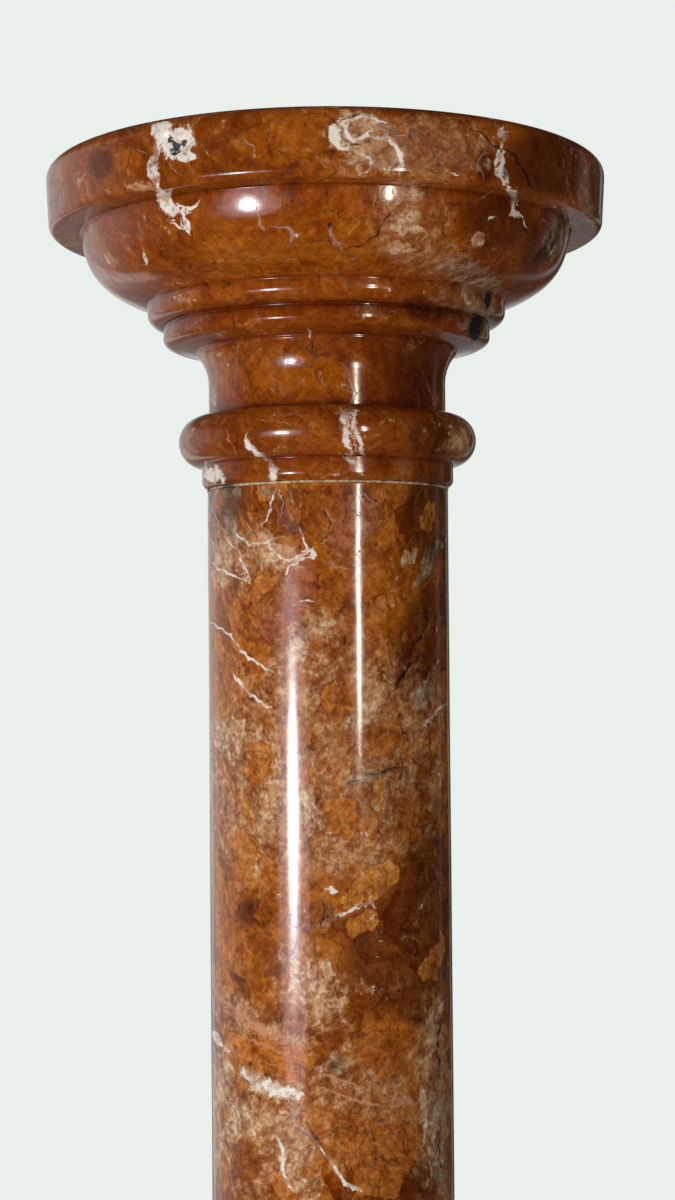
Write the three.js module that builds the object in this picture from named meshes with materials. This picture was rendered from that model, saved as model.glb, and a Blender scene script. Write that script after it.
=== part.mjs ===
// A pedestal column of polished red-brown marble: a turned capital with a broad round top, a plain
// round shaft, a turned base and a square plinth. A thin bed of cement closes the joint at each end
// of the shaft. Millimetres, +Z up, the origin at the centre of the underside.

import * as THREE from "three";

// Shaft
const shaftRadius = 64.8;
const shaftHeight = 750;
const shaftChamfer = 0.8;

// Cement bed at each end of the shaft, standing a little proud of it
const bedHeight = 1.2;
const bedProud = 0.4;

// Collar and bead, the same at both ends of the shaft
const collarProjection = 2.9; // beyond the shaft
const collarRounding = 4;
const collarBand = 8;
const beadProjection = 12.4; // beyond the collar
const beadHeight = 26.3;

// Neck of the capital: straight, then flaring out in a hollow curve to a small upright lip
const neckSetback = 0.9; // inside the face of the shaft
const neckStraight = 17.4;
const neckFlare = 6.3;
const neckFlareHeight = 16.3;
const neckFlareEndAngle = 60; // degrees that the curve turns before it meets the lip
const neckLip = 2;

// Lower fillet: an underside that rises outwards, a rounded lower edge and an upright band
const undersideProjection = 10; // beyond the lip of the neck
const undersideRise = 1.8;
const lowerFilletReach = 7.8; // how far the rounded edge stands out
const lowerFilletRounding = 4.5;
const lowerFilletBand = 5.5;

// Upper fillet, above a narrow groove
const grooveHeight = 1.3;
const grooveDepth = 1; // inside the lower fillet
const upperFilletProjection = 8.4; // beyond the lower fillet
const upperFilletRounding = 6.5;
const upperFilletBand = 5;

// Bowl, part of an elliptical quarter round that ends upright under the top plate
const bowlProjection = 35.6; // beyond the upper fillet
const bowlHeight = 37.9;
const bowlStartAngle = 64; // degrees below level, where the curve begins

// Top plate
const plateProjection = 18; // beyond the bowl
const plateLowerRounding = 9.5;
const plateBand = 18.5;
const plateUpperRounding = 6;

// Base, from its foot up to the bead and collar
const footTorusProjection = 20; // beyond the foot fillet
const footTorusHeight = 36;
const footFilletProjection = 2; // beyond the hollow above it
const footFilletHeight = 8;
const hollowFlare = 36.3; // from the collar's face out to the foot
const hollowHeight = 30;

// Square plinth
const plinthMargin = 14; // outside the foot torus
const plinthHeight = 44;
const plinthChamfer = 2.5;

// Stacked pieces keep a film of space between their flat faces
const seatGap = 0.05;

// Facets
const roundSides = 60;
const squareSides = 4;

const collarRadius = shaftRadius + collarProjection;
const collarHeight = collarRounding + collarBand;

const veinedMarble = new THREE.MeshStandardMaterial({
  color: 0x97501f,
  roughness: 0.14,
  metalness: 0,
});
const brecciaMarble = new THREE.MeshStandardMaterial({
  color: 0x8c4a22,
  roughness: 0.14,
  metalness: 0,
});
const cement = new THREE.MeshStandardMaterial({
  color: 0xb9a88f,
  roughness: 0.9,
  metalness: 0,
});

const point = (radius, height) => new THREE.Vector2(radius, height);

// Points along an elliptical arc, its angles in degrees from level, positive upwards.
function arc(centreRadius, centreHeight, reach, rise, from, to, steps) {
  const start = THREE.MathUtils.degToRad(from);
  const end = THREE.MathUtils.degToRad(to);
  const curve = new THREE.EllipseCurve(centreRadius, centreHeight, reach, rise, start, end, to < from);
  return curve.getPoints(steps);
}

// A quarter round that turns from level to upright: the rounded lower edge of a moulding.
function lowerRound(innerRadius, bottom, reach, rise, steps) {
  return arc(innerRadius, bottom + rise, reach, rise, -90, 0, steps);
}

// A closed solid of revolution from a profile that runs upwards from the axis back to the axis.
function turned(name, profile, sides, material, turn = 0) {
  const geometry = new THREE.LatheGeometry(profile, sides, turn);
  geometry.rotateX(Math.PI / 2);
  const mesh = new THREE.Mesh(geometry, material);
  mesh.name = name;
  return mesh;
}

// The collar next to the shaft and the bead beyond it, from the joint face at height 0 upwards.
function collarAndBead() {
  const halfBead = beadHeight / 2;
  return [
    ...lowerRound(collarRadius - collarRounding, 0, collarRounding, collarRounding, 3),
    ...arc(collarRadius, collarHeight + halfBead, beadProjection, halfBead, -90, 90, 7),
  ];
}

function capital() {
  const neckRadius = shaftRadius - neckSetback;
  const neckBottom = collarHeight + beadHeight;
  const flareBottom = neckBottom + neckStraight;
  const flareTop = flareBottom + neckFlareHeight;
  const lipRadius = neckRadius + neckFlare;
  const lipTop = flareTop + neckLip;

  // The hollow curve of the neck stops short of level, where it meets the lip.
  const flareEnd = THREE.MathUtils.degToRad(neckFlareEndAngle);
  const flareReach = neckFlare / (1 - Math.cos(flareEnd));
  const flareRise = neckFlareHeight / Math.sin(flareEnd);

  const undersideRadius = lipRadius + undersideProjection;
  const undersideTop = lipTop + undersideRise;
  const lowerFilletRadius = undersideRadius + lowerFilletReach;
  const lowerFilletTop = undersideTop + lowerFilletRounding + lowerFilletBand;

  const grooveRadius = lowerFilletRadius - grooveDepth;
  const grooveTop = lowerFilletTop + grooveHeight;
  const upperFilletReach = grooveDepth + upperFilletProjection;
  const upperFilletRadius = grooveRadius + upperFilletReach;
  const upperFilletTop = grooveTop + upperFilletRounding + upperFilletBand;

  // The bowl's arc begins at its seat on the upper fillet and ends level with its own centre.
  const startAngle = THREE.MathUtils.degToRad(bowlStartAngle);
  const bowlReach = bowlProjection / (1 - Math.cos(startAngle));
  const bowlRise = bowlHeight / Math.sin(startAngle);
  const bowlRadius = upperFilletRadius + bowlProjection;
  const bowlTop = upperFilletTop + bowlHeight;

  const plateRadius = bowlRadius + plateProjection;
  const plateEdgeTop = bowlTop + plateLowerRounding + plateBand;
  const plateTop = plateEdgeTop + plateUpperRounding;

  return turned(
    "capital",
    [
      point(0, 0),
      ...collarAndBead(),
      point(neckRadius, neckBottom),
      ...arc(neckRadius + flareReach, flareBottom, -flareReach, flareRise, 0, neckFlareEndAngle, 3),
      point(lipRadius, lipTop),
      ...lowerRound(undersideRadius, undersideTop, lowerFilletReach, lowerFilletRounding, 3),
      point(lowerFilletRadius, lowerFilletTop),
      point(grooveRadius, lowerFilletTop),
      ...lowerRound(grooveRadius, grooveTop, upperFilletReach, upperFilletRounding, 3),
      point(upperFilletRadius, upperFilletTop),
      ...arc(bowlRadius - bowlReach, bowlTop, bowlReach, bowlRise, -bowlStartAngle, 0, 6).slice(1),
      ...lowerRound(plateRadius - plateLowerRounding, bowlTop, plateLowerRounding, plateLowerRounding, 3),
      ...arc(plateRadius - plateUpperRounding, plateEdgeTop, plateUpperRounding, plateUpperRounding, 0, 90, 3),
      point(0, plateTop),
    ],
    roundSides,
    veinedMarble,
  );
}

function shaft() {
  return turned(
    "shaft",
    [
      point(0, 0),
      point(shaftRadius - shaftChamfer, 0),
      point(shaftRadius, shaftChamfer),
      point(shaftRadius, shaftHeight - shaftChamfer),
      point(shaftRadius - shaftChamfer, shaftHeight),
      point(0, shaftHeight),
    ],
    roundSides,
    brecciaMarble,
  );
}

function cementBed(name) {
  const bedRadius = shaftRadius + bedProud;
  return turned(
    name,
    [point(0, 0), point(bedRadius, 0), point(bedRadius, bedHeight), point(0, bedHeight)],
    roundSides,
    cement,
  );
}

function base() {
  const hollowRadius = collarRadius + hollowFlare;
  const footFilletRadius = hollowRadius + footFilletProjection;
  const footFilletTop = footTorusHeight + footFilletHeight;
  const hollowTop = footFilletTop + hollowHeight;
  const baseTop = hollowTop + beadHeight + collarHeight;
  const halfTorus = footTorusHeight / 2;

  // The collar and bead face down here, so their profile is turned over.
  const upsideDown = collarAndBead().reverse();
  const beadAndCollar = upsideDown.map((p) => point(p.x, baseTop - p.y));

  return turned(
    "base",
    [
      point(0, 0),
      ...arc(footFilletRadius, halfTorus, footTorusProjection, halfTorus, -90, 90, 8),
      point(footFilletRadius, footFilletTop),
      ...arc(hollowRadius, hollowTop, -hollowFlare, hollowHeight, -90, 0, 6),
      ...beadAndCollar.slice(1),
      point(0, baseTop),
    ],
    roundSides,
    veinedMarble,
  );
}

// A square block: four-sided, with its corners on the diagonals and its faces along X and Y.
function plinth() {
  const footRadius =
    collarRadius + hollowFlare + footFilletProjection + footTorusProjection;
  const halfWidth = footRadius + plinthMargin;
  const toCorner = Math.SQRT2;
  return turned(
    "plinth",
    [
      point(0, 0),
      point((halfWidth - plinthChamfer) * toCorner, 0),
      point(halfWidth * toCorner, plinthChamfer),
      point(halfWidth * toCorner, plinthHeight - plinthChamfer),
      point((halfWidth - plinthChamfer) * toCorner, plinthHeight),
      point(0, plinthHeight),
    ],
    squareSides,
    veinedMarble,
    Math.PI / squareSides,
  );
}

// Each piece stands on the one before it.
function stacked(pieces) {
  const group = new THREE.Group();
  let level = 0;
  for (const piece of pieces) {
    piece.position.z = level;
    piece.geometry.computeBoundingBox();
    level += piece.geometry.boundingBox.max.z + seatGap;
    group.add(piece);
  }
  return group;
}

const column = stacked([
  plinth(),
  base(),
  cementBed("lower_bed"),
  shaft(),
  cementBed("upper_bed"),
  capital(),
]);

export default column;
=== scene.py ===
"""Looks of a pedestal column of polished red-brown marble, built around its construction model.

Lengths of mouldings are in millimetres; Blender's own units are metres. Places on the front of the
stone are pixels of the photograph's 675 x 1200 frame, and the camera below carries them onto it.
"""

import math

import bpy
import numpy as np
from mathutils import Matrix, Vector


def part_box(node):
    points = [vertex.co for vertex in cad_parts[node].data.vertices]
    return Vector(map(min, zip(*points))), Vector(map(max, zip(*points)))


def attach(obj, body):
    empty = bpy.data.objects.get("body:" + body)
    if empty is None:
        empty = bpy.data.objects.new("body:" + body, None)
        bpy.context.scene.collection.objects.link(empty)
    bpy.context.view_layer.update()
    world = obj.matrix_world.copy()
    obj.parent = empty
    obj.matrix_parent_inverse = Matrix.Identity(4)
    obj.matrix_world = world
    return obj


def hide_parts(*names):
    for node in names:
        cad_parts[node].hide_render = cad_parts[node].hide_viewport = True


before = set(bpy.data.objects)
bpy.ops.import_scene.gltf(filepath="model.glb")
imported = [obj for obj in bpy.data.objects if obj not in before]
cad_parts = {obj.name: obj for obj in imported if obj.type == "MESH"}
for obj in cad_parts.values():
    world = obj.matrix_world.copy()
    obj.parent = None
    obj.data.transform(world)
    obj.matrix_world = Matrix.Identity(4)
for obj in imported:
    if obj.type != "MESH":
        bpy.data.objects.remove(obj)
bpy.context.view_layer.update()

MM = 0.001

# Camera, as the photograph was taken
IMAGE_SIZE = (675, 1200)
FOCAL_PIXELS = 2092.6
CAMERA_DISTANCE = 1128.7  # from the axis of the column
CAMERA_BELOW_JOINT = 87.2  # below the joint of capital and shaft
CAMERA_ASIDE = 4.75  # to the right of the axis
CAMERA_PITCH = 1.392  # degrees upwards
CAMERA_ROLL = -0.467  # degrees
SENSOR = 36.0

# Mesh of the turned pieces
ARRIS = 0.45  # rounding of the polished edges
WOBBLE = 0.00022  # unevenness of the turning, as a share of the radius
FRONT_ARC = 190  # degrees round the front with closely spaced columns of vertices
FRONT_SHARE = 0.74  # of all columns
CAPITAL_COLUMNS = 348
SHAFT_COLUMNS = 256
BASE_COLUMNS = 320

# Widest gaps between rows of vertices
MOULDING_STEP = 1.5  # on the capital
LEVEL_TOP_STEP = 5.0
JOINT_FACE_STEP = 12.0
SHAFT_STEP = 1.85
SHAFT_UNSEEN_STEP = 3.4
SHAFT_END_STEP = 16.0
BASE_STEP = 2.0
PLINTH_STEP = 4.0

# Collar and bead, the same at both ends of the shaft
COLLAR_PROJECTION = 2.9
COLLAR_ROUNDING = 4
COLLAR_BAND = 8
BEAD_PROJECTION = 12.4
BEAD_HEIGHT = 26.3

# Capital above the bead
NECK_SETBACK = 0.9
NECK_STRAIGHT = 17.4
NECK_FLARE = 6.3
NECK_FLARE_HEIGHT = 16.3
NECK_FLARE_END = 60
NECK_LIP = 2
UNDERSIDE_PROJECTION = 10
UNDERSIDE_RISE = 1.8
LOWER_FILLET_REACH = 7.8
LOWER_FILLET_ROUNDING = 4.5
LOWER_FILLET_BAND = 5.5
GROOVE_HEIGHT = 1.3
GROOVE_DEPTH = 1
UPPER_FILLET_PROJECTION = 8.4
UPPER_FILLET_ROUNDING = 6.5
UPPER_FILLET_BAND = 5
BOWL_PROJECTION = 35.6
BOWL_HEIGHT = 37.9
BOWL_FOOT_LEAN = 72  # degrees from upright at its seat on the upper fillet
BOWL_TOP_LEAN = 9.5
BOWL_FOOT_PULL = 30  # how far the bowl follows each lean
BOWL_TOP_PULL = 18
PLATE_TAPER = 1.3  # inwards below the upright part of the edge
PLATE_TAPER_HEIGHT = 22
PLATE_LOWER_ROUNDING = 4
PLATE_UPPER_ROUNDING = 6

# Base below its bead
FOOT_TORUS_HEIGHT = 36
FOOT_FILLET_PROJECTION = 2
FOOT_FILLET_HEIGHT = 8
HOLLOW_FLARE = 36.3
HOLLOW_HEIGHT = 30

PLINTH_ARRIS = 2.5

SHAFT_SHOWN = 545  # length of shaft that the photograph shows

# Reach of the placed features, in pixels
WHOLE_ABOVE = 1195  # row where they begin to fade out, at the photograph's lower edge
GONE_BELOW = 1240
VEIN_FADE = 6.0  # beyond a vein's side
CLAST_REACH = 8.0  # to both sides of a clast's outline

# Reach of the painted shade in inside corners, in millimetres
LEDGE_REACH = 5.0
CORNER_REACH = 1.6

# Charts of the random features, in millimetres
TOP_CHART = 2000  # sets the chart of the capital's level top clear of the chart of its side
SEAM_REACH = 70  # within which features are repeated on the other side of the chart's seam


def centre_radius(node):
    low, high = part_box(node)
    return (high[0] - low[0]) / 2 / MM


def bottom(node):
    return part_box(node)[0][2] / MM


def top(node):
    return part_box(node)[1][2] / MM


SHAFT_RADIUS = centre_radius("shaft")
JOINT = bottom("capital")
COLLAR_RADIUS = SHAFT_RADIUS + COLLAR_PROJECTION
COLLAR_HEIGHT = COLLAR_ROUNDING + COLLAR_BAND


# Profiles

def arc(centre_r, centre_z, reach, rise, start, end, steps):
    """Points of an elliptical arc, its angles in degrees from level."""
    angles = np.radians(np.linspace(start, end, steps + 1))
    return [(centre_r + reach * math.cos(t), centre_z + rise * math.sin(t)) for t in angles]


def lower_round(inner_r, low_z, reach, rise, steps=8):
    return arc(inner_r, low_z + rise, reach, rise, -90, 0, steps)


def collar_and_bead():
    half = BEAD_HEIGHT / 2
    return [
        *lower_round(COLLAR_RADIUS - COLLAR_ROUNDING, 0, COLLAR_ROUNDING, COLLAR_ROUNDING),
        *arc(COLLAR_RADIUS, COLLAR_HEIGHT + half, BEAD_PROJECTION, half, -90, 90, 32),
    ]


def bowl_curve(foot, head, steps):
    """The bowl's side: leaning far out at its foot and nearly upright under the plate."""
    low_lean, high_lean = math.radians(BOWL_FOOT_LEAN), math.radians(BOWL_TOP_LEAN)
    foot, head = np.array(foot, float), np.array(head, float)
    after_foot = foot + BOWL_FOOT_PULL * np.array([math.sin(low_lean), math.cos(low_lean)])
    before_head = head - BOWL_TOP_PULL * np.array([math.sin(high_lean), math.cos(high_lean)])
    points = []
    for t in np.linspace(0, 1, steps + 1):
        u = 1 - t
        p = u ** 3 * foot + 3 * u * u * t * after_foot + 3 * u * t * t * before_head + t ** 3 * head
        points.append(tuple(p))
    return points


def capital_profile():
    """The turned outline of the capital, from the axis at the joint up to the axis at the top."""
    neck_r = SHAFT_RADIUS - NECK_SETBACK
    neck_z = COLLAR_HEIGHT + BEAD_HEIGHT
    flare_z = neck_z + NECK_STRAIGHT
    lip_r = neck_r + NECK_FLARE
    lip_z = flare_z + NECK_FLARE_HEIGHT + NECK_LIP
    end = math.radians(NECK_FLARE_END)
    flare_reach = NECK_FLARE / (1 - math.cos(end))
    flare_rise = NECK_FLARE_HEIGHT / math.sin(end)
    under_r = lip_r + UNDERSIDE_PROJECTION
    under_z = lip_z + UNDERSIDE_RISE
    lower_r = under_r + LOWER_FILLET_REACH
    lower_z = under_z + LOWER_FILLET_ROUNDING + LOWER_FILLET_BAND
    groove_r = lower_r - GROOVE_DEPTH
    groove_z = lower_z + GROOVE_HEIGHT
    upper_reach = GROOVE_DEPTH + UPPER_FILLET_PROJECTION
    upper_r = groove_r + upper_reach
    upper_z = groove_z + UPPER_FILLET_ROUNDING + UPPER_FILLET_BAND
    bowl_r = upper_r + BOWL_PROJECTION
    bowl_z = upper_z + BOWL_HEIGHT
    plate_r = centre_radius("capital")
    plate_z = top("capital") - JOINT
    low, high = PLATE_LOWER_ROUNDING, PLATE_UPPER_ROUNDING
    return [
        (0, 0),
        *collar_and_bead(),
        (neck_r, neck_z),
        *arc(neck_r + flare_reach, flare_z, -flare_reach, flare_rise, 0, NECK_FLARE_END, 10),
        (lip_r, lip_z),
        *lower_round(under_r, under_z, LOWER_FILLET_REACH, LOWER_FILLET_ROUNDING),
        (lower_r, lower_z),
        (groove_r, lower_z),
        *lower_round(groove_r, groove_z, upper_reach, UPPER_FILLET_ROUNDING),
        *bowl_curve((upper_r, upper_z), (bowl_r, bowl_z), 40),
        *lower_round(plate_r - PLATE_TAPER - low, bowl_z, low, low),
        (plate_r, bowl_z + low + PLATE_TAPER_HEIGHT),
        *arc(plate_r - high, plate_z - high, high, high, 0, 90, 8),
        (0, plate_z),
    ]


def shaft_profile():
    height = top("shaft") - bottom("shaft")
    lowest_shown = height - SHAFT_SHOWN
    return [(0, 0), (SHAFT_RADIUS, 0), (SHAFT_RADIUS, lowest_shown), (SHAFT_RADIUS, height), (0, height)]


def base_profile():
    hollow_r = COLLAR_RADIUS + HOLLOW_FLARE
    fillet_r = hollow_r + FOOT_FILLET_PROJECTION
    fillet_z = FOOT_TORUS_HEIGHT + FOOT_FILLET_HEIGHT
    hollow_z = fillet_z + HOLLOW_HEIGHT
    height = top("base") - bottom("base")
    half = FOOT_TORUS_HEIGHT / 2
    upside_down = [(r, height - z) for r, z in reversed(collar_and_bead())]
    return [
        (0, 0),
        *arc(fillet_r, half, centre_radius("base") - fillet_r, half, -90, 90, 40),
        (fillet_r, fillet_z),
        *arc(hollow_r, hollow_z, -HOLLOW_FLARE, HOLLOW_HEIGHT, -90, 0, 24),
        *upside_down,
        (0, height),
    ]


def without_repeats(points):
    kept = [points[0]]
    for p in points[1:]:
        if math.dist(p, kept[-1]) > 1e-6:
            kept.append(p)
    return kept


def with_arrises(points, size):
    """Each sharp corner becomes a small rounded arris with a row of vertices beside it."""
    sharp = math.radians(24)
    points = without_repeats(points)
    made = [points[0]]
    for before, corner, after in zip(points, points[1:], points[2:]):
        a = np.subtract(before, corner)
        b = np.subtract(after, corner)
        len_a, len_b = np.linalg.norm(a), np.linalg.norm(b)
        turn = math.pi - math.acos(np.clip(a @ b / (len_a * len_b), -1, 1))
        if turn < sharp:
            made.append(corner)
            continue
        cut = min(size, 0.4 * len_a, 0.4 * len_b)
        start, end = corner + a / len_a * cut, corner + b / len_b * cut
        beside = min(1.5 * cut, 0.45 * len_a, 0.45 * len_b)
        made.append(tuple(corner + a / len_a * beside))
        for t in np.linspace(0, 1, 3):
            curve = (1 - t) ** 2 * start + 2 * t * (1 - t) * np.array(corner) + t ** 2 * end
            made.append(tuple(curve))
        made.append(tuple(corner + b / len_b * beside))
    made.append(points[-1])
    return without_repeats(made)


def divided(points, step_at):
    """Long straight stretches get further rows; step_at(height) is the widest gap allowed there."""
    made = [points[0]]
    for p, q in zip(points, points[1:]):
        step = step_at((p[1] + q[1]) / 2)
        parts = max(1, math.ceil(math.dist(p, q) / step - 0.2))
        for k in range(1, parts + 1):
            made.append(tuple(np.array(p) + (np.array(q) - np.array(p)) * k / parts))
    return made


# The photograph's frame

def camera_matrix():
    turn = Matrix.Rotation(math.radians(90 + CAMERA_PITCH), 4, "X")
    roll = Matrix.Rotation(math.radians(CAMERA_ROLL), 4, "Z")
    place = Vector((CAMERA_ASIDE, -CAMERA_DISTANCE, JOINT - CAMERA_BELOW_JOINT)) * MM
    return Matrix.Translation(place) @ turn @ roll


def to_pixels(places):
    """Pixels of the photograph's frame for places in metres."""
    inverse = np.array(camera_matrix().inverted())
    local = places @ inverse[:3, :3].T + inverse[:3, 3]
    x = IMAGE_SIZE[0] / 2 + FOCAL_PIXELS * local[:, 0] / -local[:, 2]
    y = IMAGE_SIZE[1] / 2 - FOCAL_PIXELS * local[:, 1] / -local[:, 2]
    return np.stack([x, y], axis=1)


# Veins: a path and its half-width, in pixels

CALCITE_VEINS = {
    "cavity_stem_left": ([(153, 124), (156, 142), (155, 155), (151, 163), (150, 171), (154, 183)], 2.6),
    "cavity_stem_right": ([(160, 150), (156, 160), (156, 170), (159, 185)], 2.2),
    "cavity_tail": ([(170, 161), (174, 169), (178, 174)], 0.7),
    "bowl_stem": ([(157, 187), (161, 193), (164, 203), (168, 213), (175, 212)], 3.6),
    "bowl_stem_grey": ([(168, 194), (172, 202), (174, 211)], 2.2),
    "bowl_right_branch": ([(174, 203), (184, 208), (192, 208), (198, 203)], 2.0),
    "bowl_lower_branch": ([(180, 210), (185, 216), (187, 223), (189, 233)], 2.2),
    "bowl_lower_line": ([(170, 223), (180, 227), (189, 233)], 1.3),
    "cluster_bar": ([(341, 121), (345, 131), (349, 138), (354, 141), (362, 137), (374, 126)], 2.4),
    "cluster_top": ([(338, 126), (348, 120), (360, 117), (372, 118), (384, 121)], 1.6),
    "cluster_middle": ([(362, 137), (368, 131), (375, 137), (390, 138)], 1.9),
    "cluster_lower": ([(333, 142), (339, 150), (349, 150), (364, 155), (374, 160)], 1.8),
    "cluster_right": ([(388, 135), (394, 145), (402, 156), (401, 166), (399, 172)], 2.2),
    "cluster_drop": ([(364, 155), (369, 161), (371, 170), (363, 173)], 0.8),
    "right_strand_top": ([(502, 128), (499, 135), (503, 140), (500, 148)], 2.0),
    "right_strand_branch": ([(503, 134), (509, 131)], 1.2),
    "right_strand_outer": ([(498, 150), (496, 162), (498, 174), (504, 184)], 2.0),
    "right_strand_inner": ([(504, 152), (502, 166), (507, 175), (510, 184)], 1.8),
    "right_bowl_strand": ([(509, 190), (513, 199), (513, 213), (519, 216)], 3.0),
    "right_bowl_branch": ([(512, 191), (518, 199)], 1.8),
    "right_bowl_dot": ([(524, 222), (526, 225)], 1.0),
    "left_speck": ([(144, 254), (147, 258), (146, 262)], 1.6),
    "white_dot": ([(490, 219), (494, 217)], 1.0),
    "plate_edge_dot": ([(452, 173), (456, 174)], 1.2),
    "neck_streak": ([(215, 388), (213, 404)], 1.6),
    "neck_white": ([(309, 330), (310, 338)], 0.8),
    "torus_left": ([(247, 436), (248, 446), (255, 453), (264, 458), (272, 462)], 3.0),
    "collar_below_left": ([(271, 462), (273, 470), (272, 480)], 3.4),
    "torus_main_left": ([(342, 411), (345, 425), (347, 438), (350, 452)], 3.6),
    "torus_main_right": ([(352, 411), (354, 424), (358, 438), (363, 452)], 3.0),
    "torus_main_tie": ([(343, 413), (356, 411)], 2.0),
    "collar_main": ([(347, 459), (354, 464), (361, 472)], 4.2),
    "collar_left": ([(205, 466), (207, 474), (212, 481)], 2.8),
    "collar_left_second": ([(216, 466), (222, 474), (225, 482)], 2.8),
    "collar_dot": ([(334, 474), (337, 475)], 1.4),
    "shaft_left_a": ([(277, 487), (273, 498), (270, 512), (263, 525)], 0.9),
    "shaft_left_d": ([(228, 540), (240, 553), (243, 566), (252, 580)], 1.1),
    "shaft_left_e": ([(212, 564), (222, 571), (234, 577), (250, 583)], 0.9),
    "shaft_net_a": ([(238, 536), (250, 545), (269, 541), (283, 536)], 1.3),
    "shaft_net_b": ([(269, 543), (275, 553), (285, 560), (299, 558), (311, 549)], 1.7),
    "shaft_net_c": ([(311, 549), (315, 556), (300, 560), (289, 566), (285, 576)], 1.5),
    "shaft_net_e": ([(301, 530), (304, 543), (311, 551)], 1.0),
    "shaft_small_a": ([(294, 605), (302, 601), (311, 600)], 1.0),
    "shaft_string_a": ([(212, 624), (225, 630), (235, 641), (242, 653), (254, 662), (271, 672)], 1.4),
    "shaft_string_b": ([(233, 674), (244, 687), (254, 697), (269, 707)], 1.6),
    "shaft_far_right": ([(425, 724), (437, 712), (447, 703)], 1.6),
    "clast_edge_low": ([(339, 916), (350, 911), (360, 906), (371, 903), (374, 906)], 2.0),
    "clast_dot": ([(329, 889), (335, 891)], 2.6),
    "block_white": ([(244, 1070), (258, 1082), (275, 1090), (297, 1094)], 6.4),
    "edge_white": ([(213, 1032), (219, 1041), (227, 1049)], 3.2),
    "low_string_a": ([(321, 1147), (329, 1159), (346, 1184), (360, 1190)], 1.8),
    "low_string_c": ([(276, 1136), (284, 1150), (281, 1168), (290, 1186)], 1.8),
    "low_right_a": ([(422, 1088), (426, 1110), (424, 1140)], 1.4),
}

FAINT_VEINS = {
    "left_scratch": ([(109, 142), (119, 139), (129, 136), (142, 134)], 0.5),
    "left_hook": ([(138, 150), (142, 151), (146, 154)], 0.7),
    "wisp": ([(245, 141), (252, 147), (254, 151), (252, 157)], 1.1),
    "highlight_tail": ([(257, 212), (259, 221), (263, 229)], 1.6),
    "hairline_left": ([(270, 226), (277, 227), (284, 227)], 0.7),
    "purple_arc": ([(283, 225), (291, 231), (293, 237), (289, 245)], 2.2),
    "purple_drop": ([(330, 227), (330, 235), (335, 241), (341, 248)], 2.4),
    "bowl_edge_line": ([(349, 187), (360, 187), (371, 189)], 0.5),
    "bowl_right_line": ([(377, 194), (374, 203)], 0.8),
    "right_light_line": ([(487, 147), (478, 163), (483, 177)], 0.7),
    "right_bowl_light": ([(494, 191), (481, 198), (472, 203)], 0.7),
    "plate_blob": ([(301, 109), (305, 110)], 1.4),
    "shaft_left_b": ([(279, 490), (282, 503), (281, 516)], 0.7),
    "shaft_net_d": ([(262, 528), (272, 536), (281, 548)], 0.8),
    "shaft_small_b": ([(284, 596), (292, 604), (301, 606)], 0.7),
    "shaft_top_right": ([(352, 484), (362, 494), (376, 503)], 0.6),
    "shaft_right_line": ([(378, 618), (384, 645), (390, 666), (392, 678)], 0.7),
    "shaft_mid_string": ([(322, 655), (331, 668), (337, 684)], 0.8),
    "low_right_b": ([(433, 1010), (430, 1030), (436, 1052)], 1.3),
    "low_string_b": ([(290, 1108), (296, 1124), (310, 1134), (318, 1146)], 1.4),
    "shaft_level": ([(327, 562), (338, 568), (352, 570), (375, 566)], 1.1),
    "shaft_left_c": ([(210, 508), (219, 524), (226, 532), (240, 540)], 1.0),
}

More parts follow.
